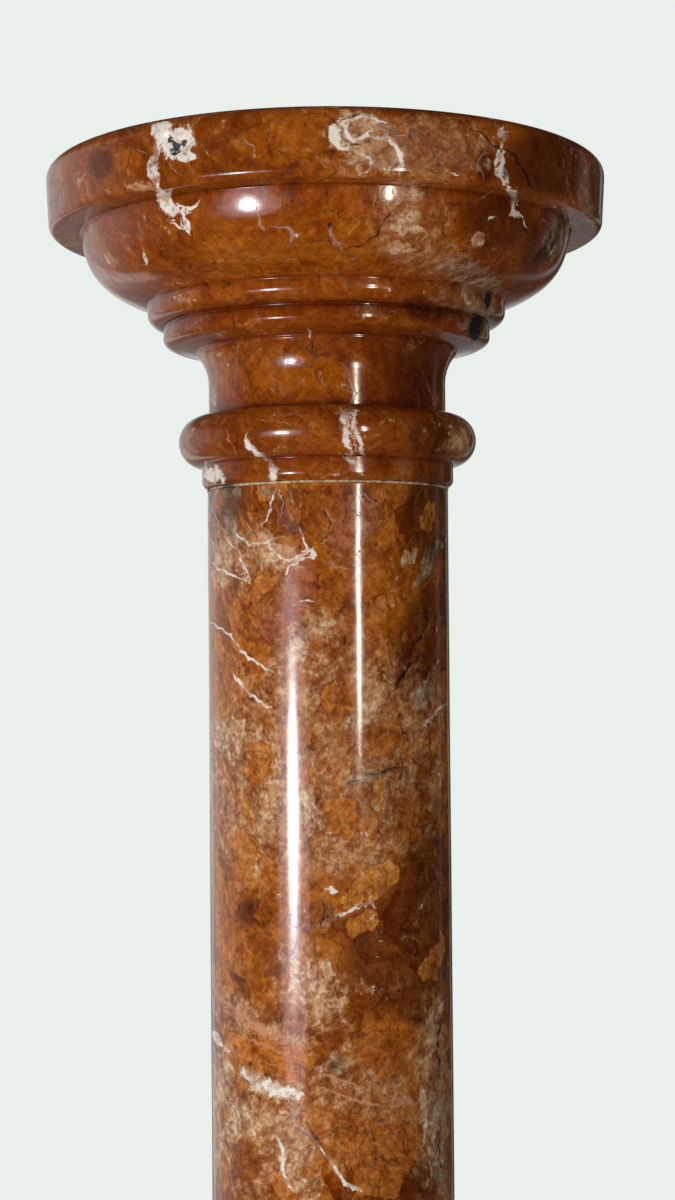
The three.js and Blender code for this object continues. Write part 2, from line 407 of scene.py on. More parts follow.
CRACKS = {
    "right_crack_top": ([(480, 132), (488, 140), (494, 148), (507, 149)], 1.1),
    "right_crack_low": ([(507, 149), (514, 155), (520, 165), (526, 176), (531, 186)], 1.4),
    "right_bowl_crack": ([(519, 217), (527, 231), (532, 242)], 0.8),
    "right_streak_a": ([(551, 231), (545, 245), (534, 262)], 1.6),
    "right_streak_b": ([(560, 226), (552, 246), (541, 262)], 1.0),
    "top_hairline": ([(334, 123), (347, 118), (360, 114), (386, 109)], 0.7),
    "left_fracture": ([(220, 142), (239, 134), (258, 124), (274, 120)], 0.45),
    "red_streak": ([(131, 146), (128, 164), (124, 178)], 0.5),
    "pale_edge": ([(392, 213), (386, 218), (378, 234), (369, 241), (354, 248), (340, 249)], 0.8),
    "pale_edge_top": ([(379, 181), (382, 196), (388, 210)], 0.6),
    "pale_hair": ([(397, 202), (405, 198), (418, 196)], 0.5),
    "bowl_dark_line": ([(309, 243), (328, 239), (340, 249)], 0.6),
    "bowl_vertical": ([(326, 184), (327, 197)], 0.5),
    "crackle_a": ([(325, 203), (331, 210), (337, 216)], 0.6),
    "crackle_b": ([(344, 207), (337, 216), (348, 222)], 0.5),
    "grey_line": ([(428, 186), (427, 196)], 0.7),
    "plate_dark_line": ([(428, 171), (439, 174)], 0.8),
    "amber_top": ([(450, 205), (460, 203), (470, 205)], 0.7),
    "amber_left": ([(450, 205), (447, 220), (443, 229), (446, 239)], 0.8),
    "amber_low": ([(446, 239), (455, 250), (470, 252)], 0.6),
    "centre_streak": ([(309, 337), (313, 347), (317, 358)], 1.1),
    "neck_right": ([(412, 365), (416, 380), (413, 398)], 0.6),
    "torus_crack": ([(430, 410), (438, 424), (437, 440), (430, 458)], 0.9),
    "collar_crack": ([(421, 463), (422, 474), (420, 482)], 0.7),
    "strand_shadow": ([(342, 138), (350, 143), (358, 144)], 0.9),
    "shaft_right_a": ([(424, 612), (428, 620), (426, 628)], 3.0),
    "shaft_right_b": ([(424, 634), (414, 643), (407, 655)], 2.0),
    "shaft_right_c": ([(421, 653), (408, 668), (398, 684), (386, 700)], 1.5),
    "shaft_right_d2": ([(436, 600), (430, 618), (420, 640)], 0.8),
    "shaft_right_d": ([(402, 730), (406, 734)], 1.8),
    "shaft_lens_edge": ([(346, 785), (367, 776), (396, 768), (404, 766)], 0.8),
    "shaft_dark_line": ([(360, 926), (365, 935), (368, 948)], 0.7),
    "shaft_olive_edge": ([(323, 905), (324, 917), (321, 927)], 1.0),
    "shaft_red_line": ([(317, 500), (330, 520), (326, 540)], 0.5),
    "shaft_top_stain": ([(214, 486), (226, 488), (238, 486)], 2.0),
    "low_dark_a": ([(440, 1020), (437, 1040), (439, 1066)], 1.0),
    "low_dark_b": ([(442, 1120), (438, 1140), (441, 1166)], 1.0),
    "low_dark_c": ([(306, 1122), (316, 1136), (330, 1160)], 0.7),
}

SALMON_VEINS = {
    "torus_thin_a": ([(227, 432), (232, 445), (238, 455)], 0.7),
    "torus_thin_b": ([(262, 420), (276, 421), (290, 424)], 0.6),
    "bowl_thin": ([(352, 214), (360, 222), (352, 230)], 0.6),
    "cavity_fringe": ([(197, 141), (204, 146), (207, 155)], 0.8),
    "shaft_salmon_a": ([(319, 1088), (342, 1095), (367, 1103), (379, 1107), (417, 1103)], 1.3),
    "shaft_salmon_b": ([(367, 1076), (387, 1095), (400, 1099), (418, 1101)], 1.1),
    "shaft_salmon_c": ([(321, 1072), (345, 1082), (368, 1090)], 1.0),
    "block_band": ([(221, 1000), (242, 1014), (262, 1027), (284, 1038), (304, 1047)], 3.6),
    "block_band_second": ([(226, 1012), (246, 1024), (268, 1036), (300, 1048)], 2.0),
    "block_fibre_a": ([(240, 1036), (262, 1044), (286, 1056), (305, 1060)], 1.2),
    "block_fibre_b": ([(248, 1058), (270, 1064), (295, 1072)], 1.0),
    "shaft_hair_a": ([(388, 842), (384, 862), (372, 880)], 0.6),
}

# Zones of colour: centre, half sizes in pixels and turn in degrees

CALCITE_ZONES = {
    "cavity_patch": ((176, 144), (17, 17), 10),
    "cavity_patch_top": ((162, 127), (10, 5), -15),
    "cavity_corner": ((190, 157), (6, 5), 0),
    "bowl_blob": ((165, 202), (6, 11), -25),
    "cluster_left": ((335, 136), (5, 12), -10),
    "collar_patch": ((214, 475), (9, 7), 0),
}

CLUSTER_ZONES = {
    "plate": ((362, 140), (36, 24), 20),
    "plate_low": ((388, 158), (14, 14), 30),
    "bowl_top": ((402, 192), (17, 11), 0),
    "bowl_middle": ((408, 222), (15, 12), 20),
    "bowl_low": ((400, 248), (14, 6), 10),
    "bowl_right_wisps": ((478, 240), (5, 8), 20),
    "left_beige": ((138, 186), (9, 4), 0),
    "left_spot": ((79, 181), (4, 3), -20),
    "left_spot_second": ((106, 191), (4, 2), 35),
    "torus_right": ((463, 441), (8, 12), 0),
    "shaft_net": ((268, 550), (30, 16), 20),
    "shaft_left": ((222, 560), (10, 26), 0),
    "shaft_diagonal": ((305, 643), (38, 11), -50),
    "shaft_matrix": ((236, 735), (30, 14), 10),
    "shaft_matrix_low": ((270, 815), (12, 44), 10),
    "shaft_middle": ((365, 700), (18, 30), 20),
    "shaft_middle_low": ((304, 812), (14, 24), 0),
    "shaft_right_spot": ((408, 557), (7, 10), 40),
    "band_left": ((262, 1022), (40, 8), 32),
    "block_white": ((266, 1088), (26, 8), 18),
    "low_left": ((250, 1118), (28, 18), 10),
    "low_left_edge": ((222, 1110), (12, 60), 0),
    "low_middle": ((298, 1160), (16, 44), -20),
    "low_right": ((428, 1110), (8, 60), 0),
    "right_edge_low": ((434, 1020), (8, 26), 0),
    "speckled": ((318, 990), (22, 34), -30),
}

HAZE_ZONES = {
    "plate_right": ((432, 145), (48, 34), 0),
    "plate_cluster": ((372, 142), (42, 32), 20),
    "bowl_patch": ((410, 215), (38, 48), 0),
    "bowl_patch_low": ((425, 255), (40, 20), 15),
    "fillet_right": ((470, 300), (34, 20), 0),
    "left_of_cavity": ((140, 186), (14, 6), 0),
    "torus_right": ((462, 441), (14, 20), 0),
    "shaft_top_left": ((250, 560), (30, 34), 0),
    "shaft_diagonal": ((302, 648), (52, 24), -50),
    "shaft_middle": ((356, 730), (66, 76), 20),
    "shaft_matrix": ((258, 780), (52, 90), 0),
    "shaft_middle_low": ((340, 850), (44, 30), 0),
    "shaft_low": ((262, 1120), (56, 70), 0),
    "shaft_low_middle": ((345, 1090), (50, 24), 0),
    "shaft_low_right": ((430, 1090), (18, 90), 0),
    "band_left": ((262, 1026), (50, 18), 30),
    "speckled": ((310, 988), (30, 48), -25),
    "shaft_right_mid": ((400, 800), (34, 50), 10),
    "shaft_right_low": ((372, 1110), (52, 60), -10),
}

PINK_ZONES = {
    "shaft_a": ((296, 580), (22, 34), 0),
    "shaft_b": ((284, 626), (30, 26), 0),
    "shaft_top": ((350, 520), (24, 40), 0),
    "clast_side": ((319, 914), (8, 14), 0),
    "plate": ((440, 150), (34, 22), 0),
}

GREY_ZONES = {
    "bowl_low": ((470, 276), (30, 15), 20),
    "fillets": ((482, 318), (20, 24), 0),
    "plate_right_end": ((592, 190), (10, 34), 0),
    "bowl_right_end": ((560, 236), (12, 22), 30),
    "shaft_top_left": ((228, 492), (12, 8), 0),
    "shaft_tint": ((268, 492), (10, 6), 0),
    "shaft_lens": ((372, 776), (30, 5), -16),
    "shaft_olive": ((329, 914), (6, 12), 10),
    "shaft_left_olive": ((232, 524), (9, 18), 0),
    "shaft_right_olive": ((428, 560), (8, 26), 25),
    "shaft_right_mid": ((428, 690), (8, 20), 30),
    "shaft_right_low": ((440, 1130), (10, 70), 0),
    "low_pale_green": ((338, 1064), (9, 12), 20),
}

DARK_ZONES = {
    "plate_right": ((548, 165), (44, 34), 0),
    "plate_red": ((486, 166), (9, 18), 0),
    "plate_left_spot": ((101, 164), (12, 14), 0),
    "bowl_right": ((496, 222), (36, 28), 0),
    "bowl_right_edge": ((540, 240), (16, 34), 25),
    "neck_right": ((420, 370), (30, 36), 0),
    "fillet_right": ((430, 308), (26, 14), 0),
    "torus_right": ((432, 440), (22, 20), 0),
    "shaft_band": ((400, 954), (62, 56), -8),
    "shaft_block": ((428, 892), (34, 60), 8),
    "shaft_band_low": ((420, 1010), (30, 16), 10),
    "shaft_band_right": ((428, 880), (26, 40), 0),
    "shaft_seam": ((256, 914), (22, 13), 10),
    "shaft_specks": ((420, 640), (22, 60), 20),
    "shaft_top_right": ((430, 520), (26, 50), 0),
    "shaft_left_edge": ((226, 500), (18, 24), 0),
    "shaft_low_right": ((400, 1180), (40, 30), 0),
}

AMBER_ZONES = {
    "plate_centre": ((270, 145), (34, 22), 0),
    "plate_left_amber": ((130, 160), (16, 12), 0),
    "bowl_centre": ((290, 248), (90, 20), 0),
    "bowl_right_amber": ((461, 231), (17, 18), 0),
    "bowl_clast": ((355, 228), (15, 18), 0),
    "neck": ((300, 380), (70, 26), 0),
    "shaft_top": ((330, 540), (26, 50), 0),
    "shaft_right": ((400, 600), (24, 60), 10),
    "shaft_left": ((232, 700), (22, 24), 0),
    "shaft_low": ((370, 1140), (50, 44), -20),
}

# Blue-black marks: painted shade in the depth of the cavity's pit, and small black spots on the bowl and
# fillets
CHAR_AND_PIT_SHADE_ZONES = {
    "cavity": ((176, 147), (6, 4), 25),
    "cavity_tail": ((170, 139), (2.4, 5), -35),
    "cavity_right": ((184, 143), (3, 3), 0),
    "cavity_low": ((176, 153), (4, 2.6), 0),
    "bowl_blue_spot": ((330, 225), (2.4, 3), 0),
    "fillet_black": ((475, 328), (6, 14), 10),
    "fillet_black_second": ((488, 300), (4, 8), 10),
}

# Clasts: outline in pixels and tone, from 0 for dark brown through orange to 1 for pale ochre
CLASTS = {
    "left_upper": ([(244, 744), (256, 739), (268, 746), (271, 764), (264, 784), (252, 788),
                    (244, 772)], 0.72),
    "left_middle": ([(231, 838), (244, 832), (258, 838), (261, 856), (250, 869), (238, 868),
                     (230, 855)], 0.66),
    "left_lower": ([(260, 858), (270, 854), (279, 864), (278, 880), (268, 885), (259, 874)], 0.6),
    "ochre": ([(340, 901), (350, 884), (365, 868), (387, 861), (400, 867), (398, 880), (379, 899),
               (358, 907), (342, 909)], 0.95),
    "pink": ([(311, 903), (319, 899), (325, 908), (322, 922), (313, 926)], 0.5),
    "orange_block": ([(225, 1030), (242, 1034), (275, 1040), (304, 1047), (309, 1063), (308, 1080),
                      (296, 1084), (271, 1076), (246, 1062)], 0.8),
    "left_brown": ([(229, 1148), (243, 1140), (258, 1146), (262, 1168), (250, 1184), (234, 1178)], 0.45),
    "right_fibrous": ([(330, 1110), (352, 1112), (384, 1124), (412, 1122), (416, 1160), (396, 1200),
                       (360, 1196), (342, 1160)], 0.62),
    "right_upper": ([(352, 1040), (376, 1030), (404, 1044), (408, 1074), (384, 1078), (360, 1064)], 0.55),
    "middle_a": ([(320, 690), (342, 676), (362, 684), (358, 712), (336, 722), (322, 712)], 0.62),
    "middle_b": ([(366, 726), (392, 716), (404, 734), (392, 758), (370, 756)], 0.6),
    "middle_c": ([(322, 800), (350, 796), (372, 806), (380, 826), (356, 840), (328, 832)], 0.7),
    "middle_d": ([(392, 800), (418, 790), (430, 812), (420, 842), (396, 846)], 0.52),
    "top_a": ([(306, 488), (330, 486), (342, 502), (336, 530), (314, 536), (304, 514)], 0.5),
    "top_b": ([(318, 574), (340, 574), (348, 598), (334, 622), (318, 606)], 0.55),
    "left_top": ([(262, 506), (284, 500), (296, 516), (290, 536), (270, 536)], 0.4),
}

# Pits in the stone: centre, half sizes in pixels, depth in millimetres
PITS = {
    "cavity": ((176, 146), (9, 7), 3.2),
    "cavity_tail": ((169, 137), (4, 7), 2.0),
    "cavity_fissure": ((182, 155), (2, 4), 0.6),
    "torus_chip": ((348, 453), (5, 3.5), 1.4),
    "collar_chip": ((335, 475), (2, 2), 0.5),
}


# Features on the plate's level top, in millimetres from the axis; some go on from its edge
TOP_VEINS = {
    "cavity": ([(-85, -125), (-79, -108), (-83, -92), (-72, -74)], 3.0),
    "cavity_branch": ([(-80, -106), (-68, -98), (-60, -84)], 1.6),
    "cluster": ([(6, -149), (12, -132), (4, -118), (10, -98)], 2.2),
    "strand": ([(80, -128), (84, -112), (77, -98)], 2.0),
    "long": ([(-120, 20), (-84, 34), (-50, 30), (-12, 52), (20, 60)], 1.6),
}
TOP_CLUSTERS = {
    "front": ((16, -128), (26, 20), 20),
    "middle": ((38, -60), (18, 12), -30),
    "back": ((-40, 84), (20, 12), 40),
}


# Fields on the stone's surface

def near_path(points, path, reach):
    low, high = path.min(axis=0) - reach, path.max(axis=0) + reach
    return np.flatnonzero(np.all((points > low) & (points < high), axis=1))


def along_leg(points, start, end):
    """How far along a straight leg each point lies, from 0 to 1, and its offset from the leg."""
    leg = end - start
    share = np.clip((points - start) @ leg / (leg @ leg), 0, 1)
    across = points - (start + share[:, None] * leg)
    gap = np.hypot(across[:, 0], across[:, 1])
    side = np.sign(leg[0] * across[:, 1] - leg[1] * across[:, 0])
    return share, gap, side


def vein_field(points, veins):
    """Signed offset in half-widths and nearness (1 on a vein, 0 away from it) for each point."""
    best = np.full(len(points), 1e6)
    offset = np.full(len(points), 9.0)
    for path, half_width in veins.values():
        path = np.array(path, float)
        legs = len(path) - 1
        near = near_path(points, path, VEIN_FADE + half_width)
        for k in range(legs):
            share, gap, side = along_leg(points[near], path[k], path[k + 1])
            swell = np.sqrt(np.sin(math.pi * np.clip((k + share) / legs, 0.02, 0.98)))
            width = half_width * (0.45 + 0.55 * swell)
            closer = gap - width < best[near]
            chosen = near[closer]
            best[chosen] = (gap - width)[closer]
            offset[chosen] = (side * gap / width)[closer]
    return np.clip(offset, -9, 9), np.clip(1 - best / VEIN_FADE, 0, 1)


def zone_field(points, zones):
    """1 inside a zone, a half on its outline and 0 outside, for each point."""
    weight = np.zeros(len(points))
    for (x, y), (half_x, half_y), turn in zones.values():
        c, s = math.cos(math.radians(turn)), math.sin(math.radians(turn))
        dx, dy = points[:, 0] - x, points[:, 1] - y
        radius = np.hypot((dx * c + dy * s) / half_x, (dy * c - dx * s) / half_y)
        weight = np.maximum(weight, np.clip(1.5 - radius, 0, 1))
    return weight


def clast_field(points, clasts):
    """Depth inside the nearest clast's outline, negative outside it, and that clast's tone."""
    depth = np.full(len(points), -CLAST_REACH)
    tones = np.full(len(points), 0.5)
    for outline, tone in clasts.values():
        outline = np.array(outline, float)
        near = near_path(points, outline, CLAST_REACH)
        spots = points[near]
        gap = np.full(len(near), 1e6)
        inside = np.zeros(len(near), bool)
        for start, end in zip(outline, np.roll(outline, -1, axis=0)):
            gap = np.minimum(gap, along_leg(spots, start, end)[1])
            crosses = (start[1] > spots[:, 1]) != (end[1] > spots[:, 1])
            level = start[0] + (spots[:, 1] - start[1]) * (end[0] - start[0]) / (end[1] - start[1] + 1e-9)
            inside ^= crosses & (spots[:, 0] < level)
        signed = np.clip(np.where(inside, gap, -gap), -CLAST_REACH, CLAST_REACH)
        deeper = signed > depth[near]
        depth[near[deeper]] = signed[deeper]
        tones[near[deeper]] = tone
    return depth / CLAST_REACH, tones


VEIN_KINDS = {"calcite": CALCITE_VEINS, "faint": FAINT_VEINS, "crack": CRACKS, "salmon": SALMON_VEINS}
ZONE_KINDS = {
    "calcite_zone": CALCITE_ZONES,
    "cluster_zone": CLUSTER_ZONES,
    "haze_zone": HAZE_ZONES,
    "pink_zone": PINK_ZONES,
    "grey_zone": GREY_ZONES,
    "dark_zone": DARK_ZONES,
    "amber_zone": AMBER_ZONES,
    "char_zone": CHAR_AND_PIT_SHADE_ZONES,
}


class Strays:
    """Random features for the parts that the photograph doesn't show, on the unrolled surface.

    Lengths are in millimetres, across from the back of the column and up from its underside. The
    capital's level top has a chart of its own, seen from above."""

    def __init__(self, seed, radius, low, high):
        self.rng = np.random.default_rng(seed)
        self.radius, self.low, self.high = radius, low, high
        self.width = 2 * math.pi * radius
        self.across = self.width / 2
        self.features = {}

    def chart(self, places):
        around = np.arctan2(-places[:, 0], places[:, 1])
        side = np.stack([around * self.radius, places[:, 2] / MM], axis=1)
        level = np.stack([places[:, 0] / MM, places[:, 1] / MM + TOP_CHART], axis=1)
        return np.where(top_share(places)[:, None] > 0, level, side)

    def move_to_top(self, radius):
        """Features made from now on lie on the level top of the capital."""
        self.across = radius
        self.low, self.high = TOP_CHART - radius, TOP_CHART + radius

    def place(self):
        across = self.rng.uniform(-self.across, self.across)
        return np.array([across, self.rng.uniform(self.low, self.high)])

    def keep(self, kind, centre, make):
        """Keeps a feature, and its copy a turn away where it lies near the seam at the front."""
        kept = self.features.setdefault(kind, {})
        turns = [0.0]
        if abs(centre[0]) > self.width / 2 - SEAM_REACH:
            turns.append(-math.copysign(self.width, centre[0]))
        for turn in turns:
            kept[f"stray_{len(kept)}"] = make(np.array([turn, 0.0]))

    def scatter(self, veins, zones):
        """Makes each kind of vein (count, length, half-width) and zone (count, half size) in turn."""
        for kind, (count, length, half_width) in veins.items():
            self.veins(kind, count, length, half_width)
        for kind, (count, size) in zones.items():
            self.zones(kind, count, size)

    def veins(self, kind, count, length, half_width):
        for _ in range(count):
            spot = self.place()
            heading = self.rng.uniform(0, 2 * math.pi)
            path = [spot]
            for _ in range(self.rng.integers(3, 7)):
                heading += self.rng.normal(0, 0.35)
                path.append(path[-1] + length / 5 * np.array([math.cos(heading), math.sin(heading)]))
            width = half_width * self.rng.uniform(0.5, 1.6)
            self.keep(kind, spot, lambda by: ([tuple(p + by) for p in path], width))

    def zones(self, kind, count, size):
        for _ in range(count):
            spot = self.place()
            half = (size * self.rng.uniform(0.6, 1.5), size * self.rng.uniform(0.35, 1.0))
            turn = self.rng.uniform(20, 70)
            self.keep(kind, spot, lambda by: (tuple(spot + by), half, turn))

    def clasts(self, count, size):
        for _ in range(count):
            spot = self.place()
            corners = self.rng.integers(6, 10)
            tone = self.rng.uniform(0.3, 1.0)
            lean = self.rng.uniform(0.4, 1.1)
            outline = []
            for k in range(corners):
                t = 2 * math.pi * k / corners
                reach = size * self.rng.uniform(0.6, 1.2)
                x, y = reach * 1.35 * math.cos(t), reach * 0.75 * math.sin(t)
                c, s = math.cos(lean), math.sin(lean)
                outline.append(spot + np.array([c * x - s * y, s * x + c * y]))
            self.keep("clasts", spot, lambda by: ([tuple(p + by) for p in outline], tone))


def wandering(points):
    """Points moved by a pixel or two, so that placed paths and outlines run unevenly."""
    x, y = points[:, 0], points[:, 1]
    dx = 0.9 * np.sin(0.31 * x + 0.17 * y + 1.3) + 0.7 * np.sin(0.55 * y - 0.23 * x + 0.4)
    dy = 0.9 * np.sin(0.27 * y - 0.21 * x + 2.1) + 0.7 * np.sin(0.49 * x + 0.33 * y + 5.2)
    return points + np.stack([dx + 0.4 * np.sin(0.9 * y + dx), dy + 0.4 * np.sin(0.8 * x + dy)], axis=1)


def add_values(mesh, name, values):
    layer = mesh.attributes.new(name, "FLOAT", "POINT")
    layer.data.foreach_set("value", values.astype(np.float32))


def smooth_share(values, low, high):
    t = np.clip((values - low) / (high - low), 0, 1)
    return t * t * (3 - 2 * t)


def top_share(places):
    """1 on the level top of the capital and 0 below its edge."""
    return smooth_share(places[:, 2] / MM, top("capital") - 3, top("capital") - 0.5)


def shown_share(places, points):
    """1 on the front that the photograph shows, 0 at the sides, on the level top and further down."""
    radius = np.hypot(places[:, 0], places[:, 1])
    facing = -places[:, 1] / np.maximum(radius, 1e-6)
    front = smooth_share(facing, 0.04, 0.24) * smooth_share(-points[:, 1], -GONE_BELOW, -WHOLE_ABOVE)
    return front * (1 - top_share(places))


def add_fields(mesh, places, strays):
    """Puts every vein, zone and clast on the mesh as values of its vertices."""
    points = to_pixels(places)
    chart = strays.chart(places)
    shown = shown_share(places, points)
    hidden = 1 - shown
    uneven, uneven_chart = wandering(points), wandering(chart)
    for kind, veins in VEIN_KINDS.items():
        offset, near = vein_field(uneven, veins)
        stray_offset, stray_near = vein_field(uneven_chart, strays.features.get(kind, {}))
        stray = stray_near * hidden > near * shown
        add_values(mesh, kind + "_offset", np.where(stray, stray_offset, offset))
        add_values(mesh, kind + "_near", np.where(stray, stray_near * hidden, near * shown))
    for kind, zones in ZONE_KINDS.items():
        weight = zone_field(points, zones) * shown
        stray_weight = zone_field(chart, strays.features.get(kind, {})) * hidden
        add_values(mesh, kind, np.maximum(weight, stray_weight))
    depth, tone = clast_field(uneven, CLASTS)
    stray_depth, stray_tone = clast_field(uneven_chart, strays.features.get("clasts", {}))
    depth = depth - hidden * 2
    stray = (stray_depth > depth) & (depth < -0.5)
    add_values(mesh, "clast_depth", np.clip(np.where(stray, stray_depth, depth), -1, 1))
    add_values(mesh, "clast_tone", np.where(stray, stray_tone, tone))


# Meshes

def columns(count):
    """Angles round the axis from the front, close together over the front arc."""
    half = math.radians(FRONT_ARC / 2)
    in_front = round(count * FRONT_SHARE)
    front = np.linspace(-half, half, in_front)
    rest = np.linspace(half, 2 * math.pi - half, count - in_front + 2)[1:-1]
    return np.concatenate([front, rest])


def hollow_shade_share(rows):
    """Painted shade: how near each row lies to an inside corner of the outline, reaching further above a
    ledge.
    """
    steps = np.diff(rows, axis=0)
    along = np.concatenate([[0], np.cumsum(np.hypot(steps[:, 0], steps[:, 1]))])
    heading = np.unwrap(np.arctan2(steps[:, 1], steps[:, 0]))
    turns = np.diff(heading)
    share = np.zeros(len(rows))
    for k in np.flatnonzero(turns < -0.15):
        reach = LEDGE_REACH if math.cos(heading[k]) < -0.2 else CORNER_REACH
        share += -turns[k] * np.exp(-np.abs(along - along[k + 1]) / reach)
    return np.clip(share / (math.pi / 2), 0, 1)


def turned(name, profile, low_z, step_at, column_count, wobble_seed):
    """A solid of revolution with softened arrises, as a closed mesh in metres."""
    rows = divided(with_arrises(profile, ARRIS), step_at)
    rows = np.array(rows)[1:-1]
    angles = columns(column_count)
    radius = np.repeat(rows[:, 0][:, None], column_count, axis=1)
    height = np.repeat(rows[:, 1][:, None], column_count, axis=1)
    turn = np.repeat(angles[None], len(rows), axis=0)
    rng = np.random.default_rng(wobble_seed)
    for _ in range(5):
        waves, rise, start = rng.integers(2, 7), rng.uniform(0.02, 0.06), rng.uniform(0, 6.3)
        radius = radius * (1 + WOBBLE * np.sin(waves * turn + rise * height + start))
    places = np.stack(
        [radius * np.sin(turn), -radius * np.cos(turn), height + low_z], axis=-1
    ).reshape(-1, 3) * MM
    places = pitted(places)
    ends = (profile[0][1] + low_z, profile[-1][1] + low_z)
    mesh, places = closed_rows(name, places, len(rows), column_count, ends)
    # painted shade near inside corners of the outline, kept as a value of each vertex
    add_values(mesh, "painted_hollow_shade", np.append(np.repeat(hollow_shade_share(rows), column_count), [0, 0]))
    return mesh, places


def pitted(places):
    """Moves the stone inwards where it has a pit or a chip."""
    points = to_pixels(places)
    radius = np.hypot(places[:, 0], places[:, 1])
    in_front = -places[:, 1] / np.maximum(radius, 1e-6) > 0.3
    depth = np.zeros(len(places))
    for (x, y), (half_x, half_y), deep in PITS.values():
        away = np.hypot((points[:, 0] - x) / half_x, (points[:, 1] - y) / half_y)
        rough = 1 + 0.3 * np.sin(points[:, 0] * 2.1 + y) * np.sin(points[:, 1] * 1.7 + x)
        depth = np.maximum(depth, deep * smooth_share(1.15 - away * rough, 0, 0.7))
    share = np.where(in_front, depth, 0) * MM / np.maximum(radius, 1e-6)
    moved = places.copy()
    moved[:, :2] *= (1 - share)[:, None]
    return moved


def closed_rows(name, places, row_count, column_count, ends):
    """Joins rows of vertices into quads, with a vertex on the axis at the height of each end."""
    row = np.arange(row_count - 1)[:, None] * column_count
    column = np.arange(column_count)[None]
    following = (column + 1) % column_count
    quads = np.stack(
        [row + column, row + following, row + column_count + following, row + column_count + column],
        axis=-1,
    ).reshape(-1, 4)
    low_end, high_end = len(places), len(places) + 1
    axis_ends = np.array([[0, 0, height] for height in ends]) * MM
    places = np.vstack([places, axis_ends])
    ring = np.arange(column_count)
    after = (ring + 1) % column_count
    last = (row_count - 1) * column_count
    low_fan = np.stack([after, ring, np.full(column_count, low_end)], axis=-1)
    high_fan = np.stack([last + ring, last + after, np.full(column_count, high_end)], axis=-1)
    faces = quads.tolist() + low_fan.tolist() + high_fan.tolist()
    mesh = bpy.data.meshes.new(name)
    mesh.from_pydata(places.tolist(), [], faces)
    mesh.polygons.foreach_set("use_smooth", [True] * len(mesh.polygons))
    mesh.update()
    return mesh, places


def add_piece(name, mesh, node, material):
    piece = bpy.data.objects.new(name, mesh)
    bpy.context.scene.collection.objects.link(piece)
    mesh.materials.append(material)
    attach(piece, "root")
    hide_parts(node)


# Materials

class Nodes:
    """Short calls that build a material's node tree."""

    def __init__(self, material):
        self.tree = material.node_tree
        self.tree.nodes.clear()

    def new(self, kind, settings=None, **inputs):
        node = self.tree.nodes.new(kind)
        for key, value in (settings or {}).items():
            setattr(node, key, value)
        for key, value in inputs.items():
            self.put(node.inputs[key.replace("_", " ")], value)
        return node

    def put(self, socket, value):
        if isinstance(value, bpy.types.NodeSocket):
            self.tree.links.new(value, socket)
        elif hasattr(socket.default_value, "__len__") and len(socket.default_value) == 4:
            socket.default_value = (*value, 1.0)
        else:
            socket.default_value = value

    def attribute(self, name):
        return self.new("ShaderNodeAttribute", {"attribute_name": name}).outputs["Fac"]

    def noise(self, vector, scale, detail=4.0, roughness=0.55, distortion=0.0):
        node = self.new("ShaderNodeTexNoise", Vector=vector, Scale=scale, Detail=detail,
                        Roughness=roughness, Distortion=distortion)
        return node.outputs["Fac"]

    def noise_colour(self, vector, scale, detail=2.0):
        return self.new("ShaderNodeTexNoise", Vector=vector, Scale=scale, Detail=detail).outputs["Color"]

    def cells(self, vector, scale):
        node = self.new("ShaderNodeTexVoronoi", Vector=vector, Scale=scale)
        return node.outputs["Distance"], node.outputs["Color"]

    def cell_edges(self, vector, scale):
        settings = {"feature": "DISTANCE_TO_EDGE"}
        return self.new("ShaderNodeTexVoronoi", settings, Vector=vector, Scale=scale).outputs["Distance"]

    def math(self, operation, a, b=0.0, c=0.0):
        node = self.new("ShaderNodeMath", {"operation": operation})
        for socket, value in zip(node.inputs, (a, b, c)):
            self.put(socket, value)
        return node.outputs["Value"]

    def times(self, a, b):
        return self.math("MULTIPLY", a, b)

    def ramp(self, value, low, high, to_low=0.0, to_high=1.0):
        """Smooth step of a value from low to high, onto to_low and to_high."""
        node = self.new("ShaderNodeMapRange", {"interpolation_type": "SMOOTHSTEP"})
        for key, v in zip(("Value", "From Min", "From Max", "To Min", "To Max"),
                          (value, low, high, to_low, to_high)):
            self.put(node.inputs[key], v)
        return node.outputs["Result"]

    def mix(self, share, a, b):
        node = self.new("ShaderNodeMix", {"data_type": "RGBA"})
        for socket, value in ((node.inputs[0], share), (node.inputs[6], a), (node.inputs[7], b)):
            self.put(socket, value)
        return node.outputs[2]

    def vivid(self, colour, amount):
        """A colour made lighter or darker, its red changing least."""
        gain = self.new("ShaderNodeCombineColor")
        self.put(gain.inputs[0], self.math("POWER", amount, 0.8))
        self.put(gain.inputs[1], self.math("POWER", amount, 1.25))
        self.put(gain.inputs[2], self.math("POWER", amount, 1.5))
        node = self.new("ShaderNodeVectorMath", {"operation": "MULTIPLY"})
        self.put(node.inputs[0], colour)
        self.put(node.inputs[1], gain.outputs[0])
        return node.outputs["Vector"]

    def shifted(self, vector, by, amount):
        """A vector moved by a noise colour, centred on nothing."""
        centred = self.new("ShaderNodeVectorMath", {"operation": "SUBTRACT"})
        self.put(centred.inputs[0], by)
        centred.inputs[1].default_value = (0.5, 0.5, 0.5)
        node = self.new("ShaderNodeVectorMath", {"operation": "MULTIPLY_ADD"})
        self.put(node.inputs[0], centred.outputs["Vector"])
        node.inputs[1].default_value = (amount,) * 3
        self.put(node.inputs[2], vector)
        return node.outputs["Vector"]


